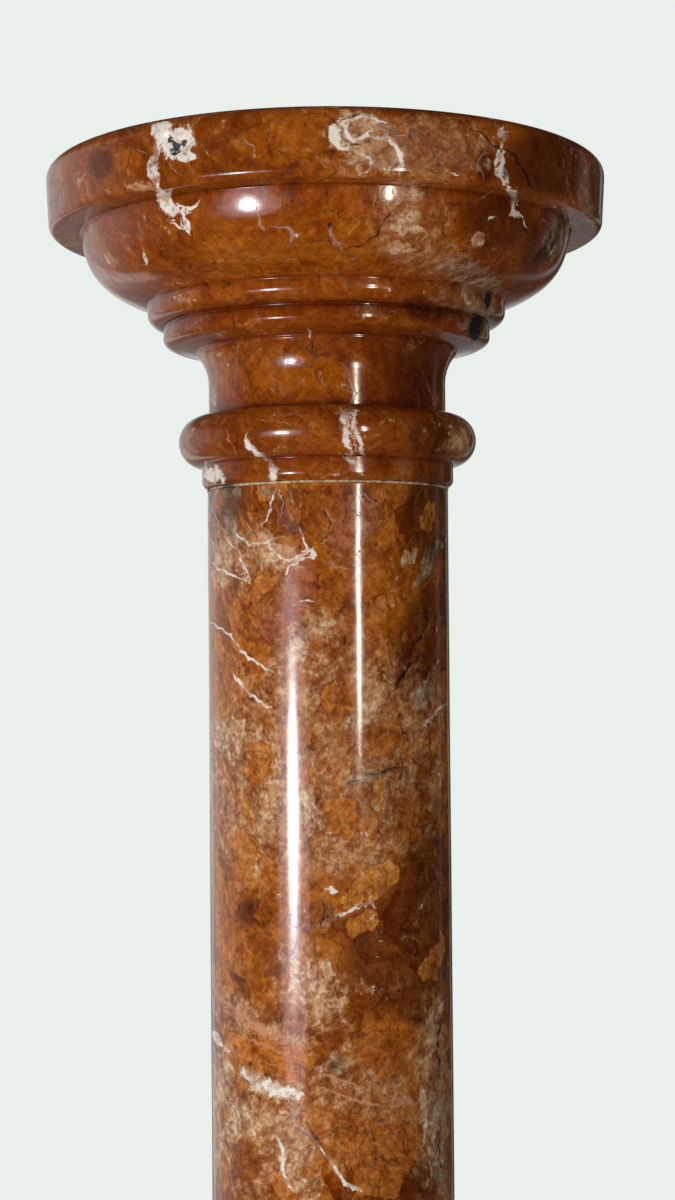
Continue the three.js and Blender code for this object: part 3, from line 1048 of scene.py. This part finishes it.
# Colours of the marble, linear
DEEP_RED = (0.072, 0.011, 0.002)
RED_BROWN = (0.168, 0.031, 0.002)
ORANGE_BROWN = (0.285, 0.060, 0.002)
AMBER = (0.365, 0.092, 0.003)
OCHRE = (0.550, 0.215, 0.038)
SALMON = (0.560, 0.270, 0.145)
PINK = (0.300, 0.092, 0.046)
TAN = (0.340, 0.125, 0.036)
BEIGE = (0.470, 0.245, 0.115)
CLAST_AMBER = (0.460, 0.140, 0.018)
CREAM = (0.720, 0.560, 0.390)
CALCITE_WHITE = (0.900, 0.860, 0.760)
CALCITE_GREY = (0.460, 0.370, 0.260)
FAINT_GREY = (0.440, 0.330, 0.290)
OLIVE = (0.070, 0.048, 0.018)
# blue-black: painted shade in the cavity's pit, and small black spots
CHAR_AND_PIT_SHADE = (0.006, 0.009, 0.012)
CRACK = (0.022, 0.008, 0.003)


class Stone(Nodes):
    """Coordinates and noises shared by the layers of a marble."""

    def __init__(self, material, shift, turn):
        super().__init__(material)
        block = self.new("ShaderNodeMapping", Vector=self.new("ShaderNodeTexCoord").outputs["Object"])
        block.inputs["Location"].default_value = shift
        block.inputs["Rotation"].default_value = turn
        self.stone = block.outputs["Vector"]
        self.warped = self.shifted(self.stone, self.noise_colour(self.stone, 14.0, 3.0), 0.026)
        self.fine = self.shifted(self.warped, self.noise_colour(self.stone, 90.0, 2.0), 0.0026)
        self.clouds = self.noise(self.warped, 13.0, 5.0, 0.62)
        self.patches = self.noise(self.warped, 42.0, 5.0, 0.65, 0.6)
        self.mottle = self.noise(self.fine, 150.0, 6.0, 0.72)
        self.lumps = self.noise(self.fine, 290.0, 4.0, 0.72)
        self.grain = self.noise(self.stone, 650.0, 4.0, 0.75)
        self.presence = self.noise(self.stone, 105.0, 3.0, 0.6)
        self.rough_edge = self.math(
            "ADD", self.centred(self.patches, 1.6), self.centred(self.mottle, 2.2))

    def centred(self, value, amount):
        return self.math("MULTIPLY_ADD", value, amount, -0.5 * amount)

    def zone(self, kind, low=0.3, high=0.75, rough=1.0):
        """Share of a placed zone at each spot, its outline broken up."""
        edge = self.math("MULTIPLY_ADD", self.rough_edge, rough, self.attribute(kind))
        return self.ramp(edge, low, high)

    def vein(self, kind, wander, ragged, soft=0.5, least=0.2):
        """Share of a placed vein at each spot, wandering a little and with ragged edges."""
        offset = self.math("ADD", self.attribute(kind + "_offset"), self.centred(self.patches, wander))
        across = self.math("ABSOLUTE", offset)
        ragged_across = self.math("ADD", across, self.centred(self.lumps, ragged))
        line = self.ramp(ragged_across, 1.0 + 0.4 * soft, 1.0 - 0.6 * soft)
        line = self.times(line, self.ramp(self.presence, 0.40, 0.56, least, 1.0))
        return self.times(line, self.ramp(self.attribute(kind + "_near"), 0.45, 0.70))

    def fibres(self, degrees, scale):
        """Noise drawn out along a slanting direction."""
        slant = self.new("ShaderNodeMapping", Vector=self.warped)
        slant.inputs["Rotation"].default_value = (0, math.radians(degrees), 0.4)
        slant.inputs["Scale"].default_value = (1.0, 1.0, 0.16)
        return self.noise(slant.outputs["Vector"], scale, 5.0, 0.72)


def ground_layer(n):
    """Clouded brown ground."""
    colour = n.mix(n.ramp(n.clouds, 0.36, 0.62), RED_BROWN, ORANGE_BROWN)
    colour = n.mix(n.ramp(n.patches, 0.54, 0.70, 0.0, 0.7), colour, AMBER)
    return n.mix(n.ramp(n.patches, 0.44, 0.30, 0.0, 0.75), colour, DEEP_RED)


def breccia_layer(n, colour, strength):
    """Slanting clasts of two sizes, each with its own tone and here and there a dark seam."""
    slant = n.new("ShaderNodeMapping", Vector=n.fine)
    slant.inputs["Rotation"].default_value = (0, math.radians(48), 0.4)
    slant.inputs["Scale"].default_value = (1.0, 1.0, 0.5)
    place = slant.outputs["Vector"]
    seams = n.ramp(n.noise(n.stone, 30.0, 2.0, 0.6), 0.46, 0.60)
    hazy = n.zone("haze_zone", 0.1, 0.8, 0.6)
    for scale, share in ((34.0, 0.75), (85.0, 0.60)):
        _, tone = n.cells(place, scale)
        tone = n.new("ShaderNodeSeparateColor", Color=tone).outputs[0]
        clast = n.mix(n.ramp(tone, 0.15, 0.80), RED_BROWN, CLAST_AMBER)
        colour = n.mix(share * strength, colour, clast)
        edges = n.math("ADD", n.cell_edges(place, scale), n.centred(n.mottle, 0.26))
        matrix = n.times(n.ramp(edges, 0.20, 0.03), hazy)
        matrix_colour = n.mix(n.ramp(n.lumps, 0.38, 0.58), TAN, BEIGE)
        colour = n.mix(n.times(matrix, 0.82 * strength), colour, matrix_colour)
        seam = n.times(n.ramp(edges, 0.035, -0.01), seams)
        colour = n.mix(n.times(seam, 0.55 * strength), colour, DEEP_RED)
    return colour


def zone_layer(n, colour):
    """Broad dark, amber and pinkish zones."""
    colour = n.mix(n.times(n.zone("amber_zone", 0.2, 0.9), 0.5), colour, AMBER)
    colour = n.mix(n.times(n.zone("pink_zone", 0.2, 0.9, 0.6), 0.65), colour, PINK)
    return n.mix(n.times(n.zone("dark_zone", 0.15, 0.8, 0.5), 0.72), colour, DEEP_RED)


def clast_layer(n, colour):
    """Placed clasts, fibrous inside, with a dark outline."""
    edge = n.math("ADD", n.attribute("clast_depth"), n.centred(n.mottle, 1.2))
    edge = n.math("ADD", edge, n.centred(n.patches, 0.8))
    inside = n.ramp(edge, -0.06, 0.20)
    tone = n.attribute("clast_tone")
    clast = n.mix(n.ramp(tone, 0.3, 0.75), RED_BROWN, CLAST_AMBER)
    clast = n.mix(n.ramp(tone, 0.80, 1.0), clast, OCHRE)
    fibres = n.fibres(52, 110.0)
    clast = n.mix(n.ramp(fibres, 0.50, 0.38, 0.0, 0.80), clast, RED_BROWN)
    clast = n.mix(n.ramp(fibres, 0.56, 0.66, 0.0, 0.55), clast, BEIGE)
    colour = n.mix(n.times(inside, 0.85), colour, clast)
    outline = n.times(n.ramp(edge, -0.16, -0.02), n.ramp(edge, 0.12, 0.0))
    outline = n.times(outline, n.ramp(n.presence, 0.44, 0.60))
    return n.mix(n.times(outline, 0.7), colour, DEEP_RED)


def pale_layer(n, colour, cream):
    """Beige haze, and small clasts set in a creamy matrix."""
    haze = n.times(n.zone("haze_zone", 0.15, 1.0), n.ramp(n.mottle, 0.34, 0.64, 0.15, 0.62))
    colour = n.mix(haze, colour, n.mix(n.ramp(n.lumps, 0.44, 0.66), TAN, BEIGE))
    weight = n.math("ADD", n.attribute("cluster_zone"), n.centred(n.patches, 1.4))
    reach = n.math("MULTIPLY_ADD", weight, 0.46, n.centred(n.mottle, 0.6))
    coarse = n.ramp(n.math("SUBTRACT", reach, n.cell_edges(n.fine, 100.0)), 0.06, 0.18)
    fine = n.ramp(n.math("SUBTRACT", reach, n.cell_edges(n.fine, 230.0)), 0.10, 0.24)
    matrix = n.math("MAXIMUM", n.times(coarse, 0.85), n.times(fine, 0.32))
    matrix_colour = n.mix(n.ramp(n.mottle, 0.36, 0.52), TAN, BEIGE)
    creamy = n.times(n.ramp(n.lumps, 0.44, 0.60), n.ramp(n.patches, 0.40, 0.58, 0.25, 1.0))
    matrix_colour = n.mix(n.times(creamy, cream), matrix_colour, CREAM)
    present = n.ramp(n.attribute("cluster_zone"), 0.02, 0.30)
    return n.mix(n.times(matrix, present), colour, matrix_colour)


def grey_layer(n, colour):
    """Streaky grey-green patches."""
    grey = n.mix(n.ramp(n.fibres(20, 80.0), 0.40, 0.62), OLIVE, CALCITE_GREY)
    return n.mix(n.times(n.zone("grey_zone", 0.25, 0.95), 0.52), colour, grey)


def shading_layer(n, colour, strength):
    """Small lights and darks, and fibres that cross the whole block."""
    colour = n.vivid(colour, n.ramp(n.mottle, 0.30, 0.70, 1 - 0.34 * strength, 1 + 0.40 * strength))
    colour = n.vivid(colour, n.ramp(n.lumps, 0.30, 0.70, 1 - 0.26 * strength, 1 + 0.30 * strength))
    colour = n.vivid(colour, n.ramp(n.grain, 0.30, 0.70, 0.84, 1.16))
    fibres = n.fibres(48, 70.0)
    colour = n.mix(n.ramp(fibres, 0.60, 0.70, 0.0, 0.35 * strength), colour, BEIGE)
    return n.mix(n.ramp(fibres, 0.41, 0.33, 0.0, 0.5 * strength), colour, DEEP_RED)


def crackle_masks(n):
    """Fine dark crackle and longer fissures."""
    where = n.ramp(n.noise(n.stone, 17.0, 3.0, 0.6), 0.50, 0.62)
    crackle = n.times(n.ramp(n.cell_edges(n.fine, 56.0), 0.034, 0.006), where)
    ridge = n.math("ABSOLUTE", n.centred(n.noise(n.warped, 21.0, 4.0, 0.64, 0.8), 1.0))
    fissure = n.times(n.ramp(ridge, 0.0060, 0.0010), n.ramp(n.clouds, 0.45, 0.55))
    return n.math("MAXIMUM", n.times(crackle, 0.8), fissure)


def speck_mask(n):
    distance, tone = n.cells(n.stone, 210.0)
    pick = n.new("ShaderNodeSeparateColor", Color=tone).outputs[1]
    return n.times(n.ramp(distance, 0.26, 0.10), n.ramp(pick, 0.78, 0.86))


def hair_mask(n, share):
    """Stray hair veins of calcite."""
    ridge = n.math("ABSOLUTE", n.centred(n.noise(n.warped, 17.0, 5.0, 0.68, 1.2), 1.0))
    where = n.ramp(n.noise(n.stone, 26.0, 2.0, 0.5), 0.60 - 0.08 * share, 0.70 - 0.06 * share)
    return n.times(n.ramp(ridge, 0.010, 0.001), where)


def calcite_mask(n, ragged):
    body = n.math("ADD", n.attribute("calcite_zone"), n.centred(n.lumps, 1.8))
    body = n.math("ADD", body, n.centred(n.patches, 1.4))
    return n.math("MAXIMUM", n.ramp(body, 0.36, 0.54), n.vein("calcite", 2.2, ragged, 0.8))


def calcite_colour(n):
    spots = n.noise(n.stone, 240.0, 4.0, 0.72)
    colour = n.mix(n.ramp(spots, 0.32, 0.48), CALCITE_GREY, CALCITE_WHITE)
    return n.mix(n.ramp(n.noise(n.stone, 130.0, 3.0, 0.6), 0.56, 0.66, 0.0, 0.7), colour, SALMON)


def polish(n, colour, calcite, cracks, char_and_pit_shade, gloss):
    """Glossy, a little duller on calcite, in cracks and in the cavity."""
    dull = n.ramp(n.noise(n.stone, 60.0, 5.0, 0.7), 0.3, 0.7, gloss - 0.03, gloss + 0.04)
    dull = n.math("ADD", dull, n.times(calcite, 0.10))
    dull = n.math("ADD", dull, n.times(cracks, 0.18))
    dull = n.math("ADD", dull, n.times(char_and_pit_shade, 0.40))
    height = n.math("ADD", n.noise(n.stone, 26.0, 2.0, 0.5), n.times(n.grain, 0.006))
    height = n.math("SUBTRACT", height, n.times(cracks, 0.06))
    bump = n.new("ShaderNodeBump", Strength=0.25, Distance=0.0006, Height=height)
    shader = n.new("ShaderNodeBsdfPrincipled", Base_Color=colour, Roughness=dull,
                   Normal=bump.outputs["Normal"])
    shader.inputs["IOR"].default_value = 1.52
    output = n.new("ShaderNodeOutputMaterial")
    n.tree.links.new(shader.outputs["BSDF"], output.inputs["Surface"])


def marble(name, shift, turn, breccia, cream, contrast, hairs, ragged, gloss):
    """Polished marble: clouded ground, clasts, pale zones, crackle and calcite veins, with painted shade in
    inside corners and in the cavity's pit.

    Each block is cut from the rock at its own shift and turn. breccia, cream, contrast and hairs are
    strengths from 0 to 1, ragged is how broken a vein's sides are, and gloss is the roughness."""
    material = bpy.data.materials.new(name)
    material.use_nodes = True
    n = Stone(material, shift, turn)
    colour = ground_layer(n)
    colour = breccia_layer(n, colour, breccia)
    colour = zone_layer(n, colour)
    colour = pale_layer(n, colour, cream)
    colour = clast_layer(n, colour)
    colour = grey_layer(n, colour)
    colour = shading_layer(n, colour, contrast)
    crackle = crackle_masks(n)
    colour = n.mix(n.times(crackle, 0.55), colour, CRACK)
    colour = n.mix(n.times(speck_mask(n), 0.6), colour, CRACK)
    colour = n.mix(n.times(hair_mask(n, hairs), 0.6), colour, BEIGE)
    colour = n.mix(n.times(n.vein("salmon", 2.0, 2.5), 0.75), colour, SALMON)
    colour = n.mix(n.times(n.vein("faint", 2.2, 2.6, 0.9), 0.55), colour, FAINT_GREY)
    calcite = calcite_mask(n, ragged)
    colour = n.mix(n.times(calcite, 0.92), colour, calcite_colour(n))
    crack = n.vein("crack", 2.4, ragged, 0.5, 0.55)
    colour = n.mix(n.times(crack, 0.92), colour, CRACK)
    # Blue-black: painted shade in the cavity's pit, and small black spots
    char_and_pit_shade_edge = n.math("ADD", n.attribute("char_zone"), n.centred(n.lumps, 2.6))
    char_and_pit_shade = n.ramp(char_and_pit_shade_edge, 0.40, 0.62)
    colour = n.mix(n.times(char_and_pit_shade, 0.96), colour, CHAR_AND_PIT_SHADE)
    # Painted shade: darker near inside corners of the outline and above ledges
    colour = n.vivid(colour, n.math("MULTIPLY_ADD", n.attribute("painted_hollow_shade"), -0.62, 1.0))
    polish(n, colour, calcite, n.math("MAXIMUM", crack, crackle), char_and_pit_shade, gloss)
    return material


def cement_material():
    """Pale crumbly cement with brown stains."""
    material = bpy.data.materials.new("crumbly_cement")
    material.use_nodes = True
    n = Nodes(material)
    place = n.new("ShaderNodeTexCoord").outputs["Object"]
    crumbs = n.noise(place, 420.0, 5.0, 0.75)
    stain = n.noise(place, 45.0, 3.0, 0.6)
    colour = n.mix(n.ramp(crumbs, 0.38, 0.62), (0.26, 0.15, 0.06), (0.74, 0.58, 0.34))
    colour = n.mix(n.ramp(stain, 0.52, 0.62, 0.0, 0.85), colour, (0.045, 0.018, 0.008))
    bump = n.new("ShaderNodeBump", Strength=0.6, Distance=0.0006, Height=crumbs)
    shader = n.new("ShaderNodeBsdfPrincipled", Base_Color=colour, Normal=bump.outputs["Normal"])
    shader.inputs["Roughness"].default_value = 0.85
    output = n.new("ShaderNodeOutputMaterial")
    n.tree.links.new(shader.outputs["BSDF"], output.inputs["Surface"])
    return material


# Pieces

def capital_strays():
    strays = Strays(11, 100, JOINT + 4, JOINT + 168)
    strays.scatter(
        {"calcite": (18, 36, 1.3), "faint": (16, 26, 1.0), "crack": (26, 42, 0.5), "salmon": (16, 26, 0.6)},
        {"calcite_zone": (9, 5), "cluster_zone": (14, 13), "haze_zone": (14, 24), "grey_zone": (6, 12),
         "dark_zone": (12, 20), "amber_zone": (14, 22)},
    )
    strays.move_to_top(centre_radius("capital"))
    strays.scatter(
        {"calcite": (7, 60, 1.1), "crack": (9, 70, 0.7), "salmon": (5, 50, 0.9)},
        {"haze_zone": (4, 26), "grey_zone": (3, 12), "dark_zone": (6, 24), "amber_zone": (7, 26)},
    )
    for name, (path, half_width) in TOP_VEINS.items():
        strays.features["calcite"][name] = ([(x, y + TOP_CHART) for x, y in path], half_width)
    for name, ((x, y), half, turn) in TOP_CLUSTERS.items():
        strays.features["cluster_zone"][name] = ((x, y + TOP_CHART), half, turn)
    return strays


def shaft_strays():
    strays = Strays(23, SHAFT_RADIUS, bottom("shaft"), top("shaft"))
    strays.scatter(
        {"calcite": (44, 36, 0.8), "faint": (90, 34, 0.8), "crack": (60, 40, 0.6), "salmon": (40, 40, 0.6)},
        {"calcite_zone": (16, 3), "cluster_zone": (70, 12), "haze_zone": (44, 26), "pink_zone": (14, 16),
         "grey_zone": (26, 9), "dark_zone": (34, 20), "amber_zone": (30, 20)},
    )
    strays.clasts(150, 9)
    return strays


def base_strays():
    strays = Strays(37, 100, bottom("base"), top("base"))
    strays.scatter(
        {"calcite": (12, 34, 1.2), "faint": (14, 26, 1.0), "crack": (22, 40, 0.5), "salmon": (12, 26, 0.6)},
        {"calcite_zone": (7, 5), "cluster_zone": (12, 12), "haze_zone": (12, 22), "dark_zone": (10, 20),
         "amber_zone": (12, 22)},
    )
    return strays


def make_capital(material):
    height = top("capital") - JOINT

    def step(z):
        if z >= height - 0.01:
            return LEVEL_TOP_STEP
        return JOINT_FACE_STEP if z <= 0 else MOULDING_STEP

    mesh, places = turned("capital_marble", capital_profile(), JOINT, step, CAPITAL_COLUMNS, 3)
    add_fields(mesh, places, capital_strays())
    add_piece("capital_marble", mesh, "capital", material)


def make_shaft(material):
    height = top("shaft") - bottom("shaft")
    lowest_shown = height - SHAFT_SHOWN

    def step(z):
        if z <= 0 or z >= height:
            return SHAFT_END_STEP
        return SHAFT_STEP if z > lowest_shown else SHAFT_UNSEEN_STEP

    mesh, places = turned("shaft_marble", shaft_profile(), bottom("shaft"), step, SHAFT_COLUMNS, 5)
    add_fields(mesh, places, shaft_strays())
    add_piece("shaft_marble", mesh, "shaft", material)


def make_base(material):
    height = top("base") - bottom("base")

    def step(z):
        return JOINT_FACE_STEP if z <= 0 or z >= height - 0.01 else BASE_STEP

    mesh, places = turned("base_marble", base_profile(), bottom("base"), step, BASE_COLUMNS, 7)
    add_fields(mesh, places, base_strays())
    add_piece("base_marble", mesh, "base", material)


def make_plinth(material):
    """A square block with rounded arrises and corners."""
    low, high = (np.array(c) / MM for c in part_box("plinth"))
    half = (high[0] - low[0]) / 2 - PLINTH_ARRIS
    arris = PLINTH_ARRIS
    rounding = np.radians(np.linspace(0, 90, 6))
    profile = [(0.0, low[2]), (half, low[2])]
    profile += [(half + arris * math.sin(t), low[2] + arris * (1 - math.cos(t))) for t in rounding]
    profile += [(half + arris * math.cos(t), high[2] - arris * (1 - math.sin(t))) for t in rounding]
    profile += [(half, high[2]), (0.0, high[2])]
    rows = divided(without_repeats(profile), lambda z: PLINTH_STEP)[1:-1]
    outline = square_outline(half, 6, 44)
    places = []
    for reach, z in rows:
        spread = reach - half
        for x, y, out_x, out_y in outline:
            if spread >= 0:
                places.append((x + out_x * spread, y + out_y * spread, z))
            else:
                places.append((x * reach / half, y * reach / half, z))
    places = np.array(places) * MM
    mesh, _ = closed_rows("plinth_marble", places, len(rows), len(outline), (low[2], high[2]))
    add_piece("plinth_marble", mesh, "plinth", material)


def square_outline(half, corner_steps, side_steps):
    """Points round a square from the front, with the direction that each faces."""
    points = []
    for quarter in range(4):
        c, s = math.cos(quarter * math.pi / 2), math.sin(quarter * math.pi / 2)
        side = [(-half + 2 * half * k / side_steps, -half, 0, -1) for k in range(1, side_steps)]
        corner = []
        for k in range(corner_steps + 1):
            t = math.pi / 2 * k / corner_steps
            corner.append((half, -half, math.sin(t), -math.cos(t)))
        for x, y, out_x, out_y in side + corner:
            points.append((c * x - s * y, s * x + c * y, c * out_x - s * out_y, s * out_x + c * out_y))
    return points


def make_bed(node, material, seed):
    """A thin ring-edged bed of cement whose rim is crumbly."""
    low, high = bottom(node), top(node)
    radius = centre_radius(node)
    count, levels = 720, 5
    rng = np.random.default_rng(seed)
    crumble = np.zeros(count)
    turn = np.linspace(0, 2 * math.pi, count, endpoint=False)
    for waves in (5, 11, 23, 47, 90, 151):
        crumble += rng.uniform(0.3, 1.0) * np.sin(waves * turn + rng.uniform(0, 6.3)) / waves ** 0.4
    crumble += 0.25 * rng.normal(0, 1, count)
    places = []
    for k in range(levels):
        share = k / (levels - 1)
        bulge = 0.25 * math.sin(math.pi * share) - 0.35
        ring = radius + bulge + 0.16 * crumble * math.sin(math.pi * (0.15 + 0.7 * share))
        z = low + (high - low) * share
        places.append(np.stack([ring * np.sin(turn), -ring * np.cos(turn), np.full(count, z)], axis=-1))
    places = np.concatenate(places) * MM
    mesh, _ = closed_rows(node + "_cement", places, levels, count, (low, high))
    add_piece(node + "_cement", mesh, node, material)


# Studio

def area_light(name, place, towards, size, radiance, colour, seen=True):
    """An elliptical light of an even radiance. Where seen is false it gives light but no reflection."""
    data = bpy.data.lights.new(name, "AREA")
    data.shape = "ELLIPSE"
    data.size, data.size_y = size
    data.energy = radiance * math.pi * math.pi / 4 * size[0] * size[1]
    data.color = colour
    light = bpy.data.objects.new(name, data)
    light.location = place
    light.rotation_euler = (Vector(towards) - Vector(place)).to_track_quat("-Z", "Y").to_euler()
    light.visible_glossy = seen
    light.visible_camera = False
    bpy.context.scene.collection.objects.link(light)


def surroundings():
    """Light from all round, with a plain backdrop.

    Reflections find it pale behind and to the left, with a few upright bands, and dim elsewhere.
    around is the direction's azimuth in radians, 0 along the view and positive to the right."""
    world = bpy.data.worlds.new("studio")
    bpy.context.scene.world = world
    world.use_nodes = True
    n = Nodes(world)
    direction = n.new("ShaderNodeTexCoord").outputs["Generated"]
    parts = n.new("ShaderNodeSeparateXYZ", Vector=direction)
    x, y, z = (parts.outputs[k] for k in "XYZ")
    around = n.math("ARCTAN2", x, y)
    pale = n.times(n.ramp(around, -1.9, -1.1), n.ramp(around, 0.30, 0.06))
    band = n.times(n.ramp(around, 0.36, 0.40), n.ramp(around, 0.47, 0.43))
    second_band = n.times(n.ramp(around, 0.82, 0.88), n.ramp(around, 1.02, 0.94))
    bright_band = n.times(n.ramp(around, -0.86, -0.80), n.ramp(around, -0.66, -0.72))
    bands = n.math("MAXIMUM", n.times(band, 0.6), n.times(second_band, 0.22))
    floor_share = n.times(n.times(n.ramp(z, -0.12, -0.35), n.ramp(y, -0.1, 0.3)), 0.10)
    pale = n.math("MAXIMUM", n.math("MAXIMUM", pale, bands), floor_share)
    pale = n.times(pale, n.ramp(z, 0.42, 0.24, 0.06, 1.0))
    pale = n.times(pale, n.ramp(z, -0.65, -0.10, 0.04, 1.0))
    below = n.times(n.ramp(z, -0.03, -0.12), n.ramp(z, -0.60, -0.45))
    shade = n.times(n.times(n.ramp(around, -0.36, -0.28), n.ramp(around, 0.45, 0.25)), below)
    pale = n.times(pale, n.math("MULTIPLY_ADD", shade, -0.62, 1.0))
    thin_band = n.times(n.times(n.ramp(around, -0.56, -0.50), n.ramp(around, -0.38, -0.44)), below)
    bright = n.times(n.times(bright_band, n.ramp(z, 0.25, 0.05)), n.ramp(z, -0.45, -0.20))
    pale = n.math("ADD", n.times(pale, 0.75), n.times(n.math("MAXIMUM", bright, thin_band), 1.3))
    reflected = n.mix(pale, (0.026, 0.020, 0.016), (0.86, 0.88, 0.88))
    rays = n.new("ShaderNodeLightPath")
    soft_light = n.mix(n.ramp(y, -0.4, 0.3), (0.10, 0.095, 0.09), (0.26, 0.27, 0.26))
    soft_light = n.mix(n.ramp(z, 0.1, 0.7, 0.0, 0.6), soft_light, (0.02, 0.02, 0.02))
    lit = n.mix(rays.outputs["Is Diffuse Ray"], reflected, soft_light)
    colour = n.mix(rays.outputs["Is Camera Ray"], lit, (0.82, 0.87, 0.835))
    shader = n.new("ShaderNodeBackground", Color=colour)
    output = n.new("ShaderNodeOutputWorld")
    n.tree.links.new(shader.outputs["Background"], output.inputs["Surface"])


def floor():
    """A round pale floor whose rim fades into the backdrop."""
    radius, rings, sides = 1.4, 24, 96
    places = [(0.0, 0.0, 0.0)]
    faces = []
    for ring in range(1, rings + 1):
        reach = radius * ring / rings
        for k in range(sides):
            t = 2 * math.pi * k / sides
            places.append((reach * math.sin(t), reach * math.cos(t), 0.0))
    for k in range(sides):
        faces.append((0, 1 + (k + 1) % sides, 1 + k))
    for ring in range(rings - 1):
        for k in range(sides):
            a, b = 1 + ring * sides + k, 1 + ring * sides + (k + 1) % sides
            faces.append((a, b, b + sides, a + sides))
    mesh = bpy.data.meshes.new("floor")
    mesh.from_pydata(places, [], faces)
    piece = bpy.data.objects.new("floor", mesh)
    piece.location.z = -0.0004
    bpy.context.scene.collection.objects.link(piece)
    material = bpy.data.materials.new("pale_floor")
    material.use_nodes = True
    n = Nodes(material)
    place = n.new("ShaderNodeTexCoord").outputs["Object"]
    away = n.new("ShaderNodeVectorMath", {"operation": "LENGTH"})
    n.put(away.inputs[0], place)
    fade = n.ramp(away.outputs["Value"], 0.30, 1.00)
    pale = n.new("ShaderNodeBsdfPrincipled", Roughness=1.0)
    pale.inputs["Base Color"].default_value = (0.80, 0.83, 0.80, 1)
    pale.inputs["Specular IOR Level"].default_value = 0.0
    pale.inputs["Emission Color"].default_value = (0.92, 1.0, 0.96, 1)
    pale.inputs["Emission Strength"].default_value = 0.24
    clear = n.new("ShaderNodeBsdfTransparent")
    blend = n.new("ShaderNodeMixShader", Fac=fade)
    n.tree.links.new(pale.outputs["BSDF"], blend.inputs[1])
    n.tree.links.new(clear.outputs["BSDF"], blend.inputs[2])
    output = n.new("ShaderNodeOutputMaterial")
    n.tree.links.new(blend.outputs["Shader"], output.inputs["Surface"])
    mesh.materials.append(material)
    piece.visible_glossy = False


def lights():
    """A soft round light at the left with its haze, a warm strip at the right, and fills.

    Each has its place, what it faces, its two widths, its radiance and its colour."""
    middle = (0, 0, 0.85)
    area_light("flash", (-0.84, -1.24, 0.635), (0, 0, 0.8), (0.23, 0.29), 34, (0.95, 0.95, 1.0))
    area_light("flash_halo", (-0.845, -1.248, 0.615), (0, 0, 0.8), (0.34, 0.44), 6.0, (0.95, 0.92, 1.0))
    area_light("flash_haze", (-0.86, -1.265, 0.60), (0, 0, 0.8), (0.80, 0.70), 2.2, (0.96, 0.88, 0.98))
    area_light("flash_glow", (-1.25, -1.02, 0.40), middle, (0.6, 0.6), 8.0, (1.0, 0.97, 0.94), seen=False)
    area_light("warm_strip", (0.70, -1.33, 0.88), (0, 0, 0.9), (0.052, 0.33), 80, (1.0, 0.92, 0.82))
    area_light("warm_pane", (0.70, -1.33, 1.125), (0, 0, 1.0), (0.08, 0.055), 80, (1.0, 0.90, 0.78))
    area_light("warm_glow", (0.71, -1.35, 0.92), (0, 0, 0.95), (0.17, 0.56), 1.8, (1.0, 0.78, 0.60))
    area_light("fill_front", (0.3, -2.2, 0.50), middle, (1.0, 0.8), 0.8, (1.0, 0.97, 0.93), seen=False)
    area_light("fill_back", (0.5, 2.3, 1.9), middle, (1.6, 1.6), 3.4, (1.0, 0.99, 0.97), seen=False)


def camera():
    data = bpy.data.cameras.new("camera")
    data.sensor_fit = "AUTO"
    data.sensor_width = SENSOR
    data.lens = SENSOR * FOCAL_PIXELS / IMAGE_SIZE[1]
    data.clip_start, data.clip_end = 0.05, 20
    view = bpy.data.objects.new("camera", data)
    view.matrix_world = camera_matrix()
    bpy.context.scene.collection.objects.link(view)
    bpy.context.scene.camera = view


def picture_settings():
    view = bpy.context.scene.view_settings
    view.view_transform = "Standard"
    view.look = "None"
    view.exposure = 0
    view.gamma = 1


camera()
capital_marble = marble(
    "capital_marble", shift=(0.31, 0.12, 0.07), turn=(0.2, 0.5, 0.3), breccia=0.2, cream=0.35,
    contrast=0.7, hairs=0.4, ragged=3.6, gloss=0.11,
)
shaft_marble = marble(
    "shaft_marble", shift=(0.05, 0.43, 0.91), turn=(0.6, 0.25, 0.8), breccia=1.0, cream=0.40,
    contrast=1.0, hairs=0.8, ragged=5.5, gloss=0.11,
)
base_marble = marble(
    "base_marble", shift=(0.77, 0.21, 0.35), turn=(0.9, 0.1, 0.4), breccia=0.25, cream=0.8,
    contrast=0.8, hairs=0.6, ragged=3.6, gloss=0.12,
)
cement = cement_material()
make_capital(capital_marble)
make_shaft(shaft_marble)
make_base(base_marble)
make_plinth(base_marble)
make_bed("upper_bed", cement, 41)
make_bed("lower_bed", cement, 43)
surroundings()
floor()
lights()
picture_settings()
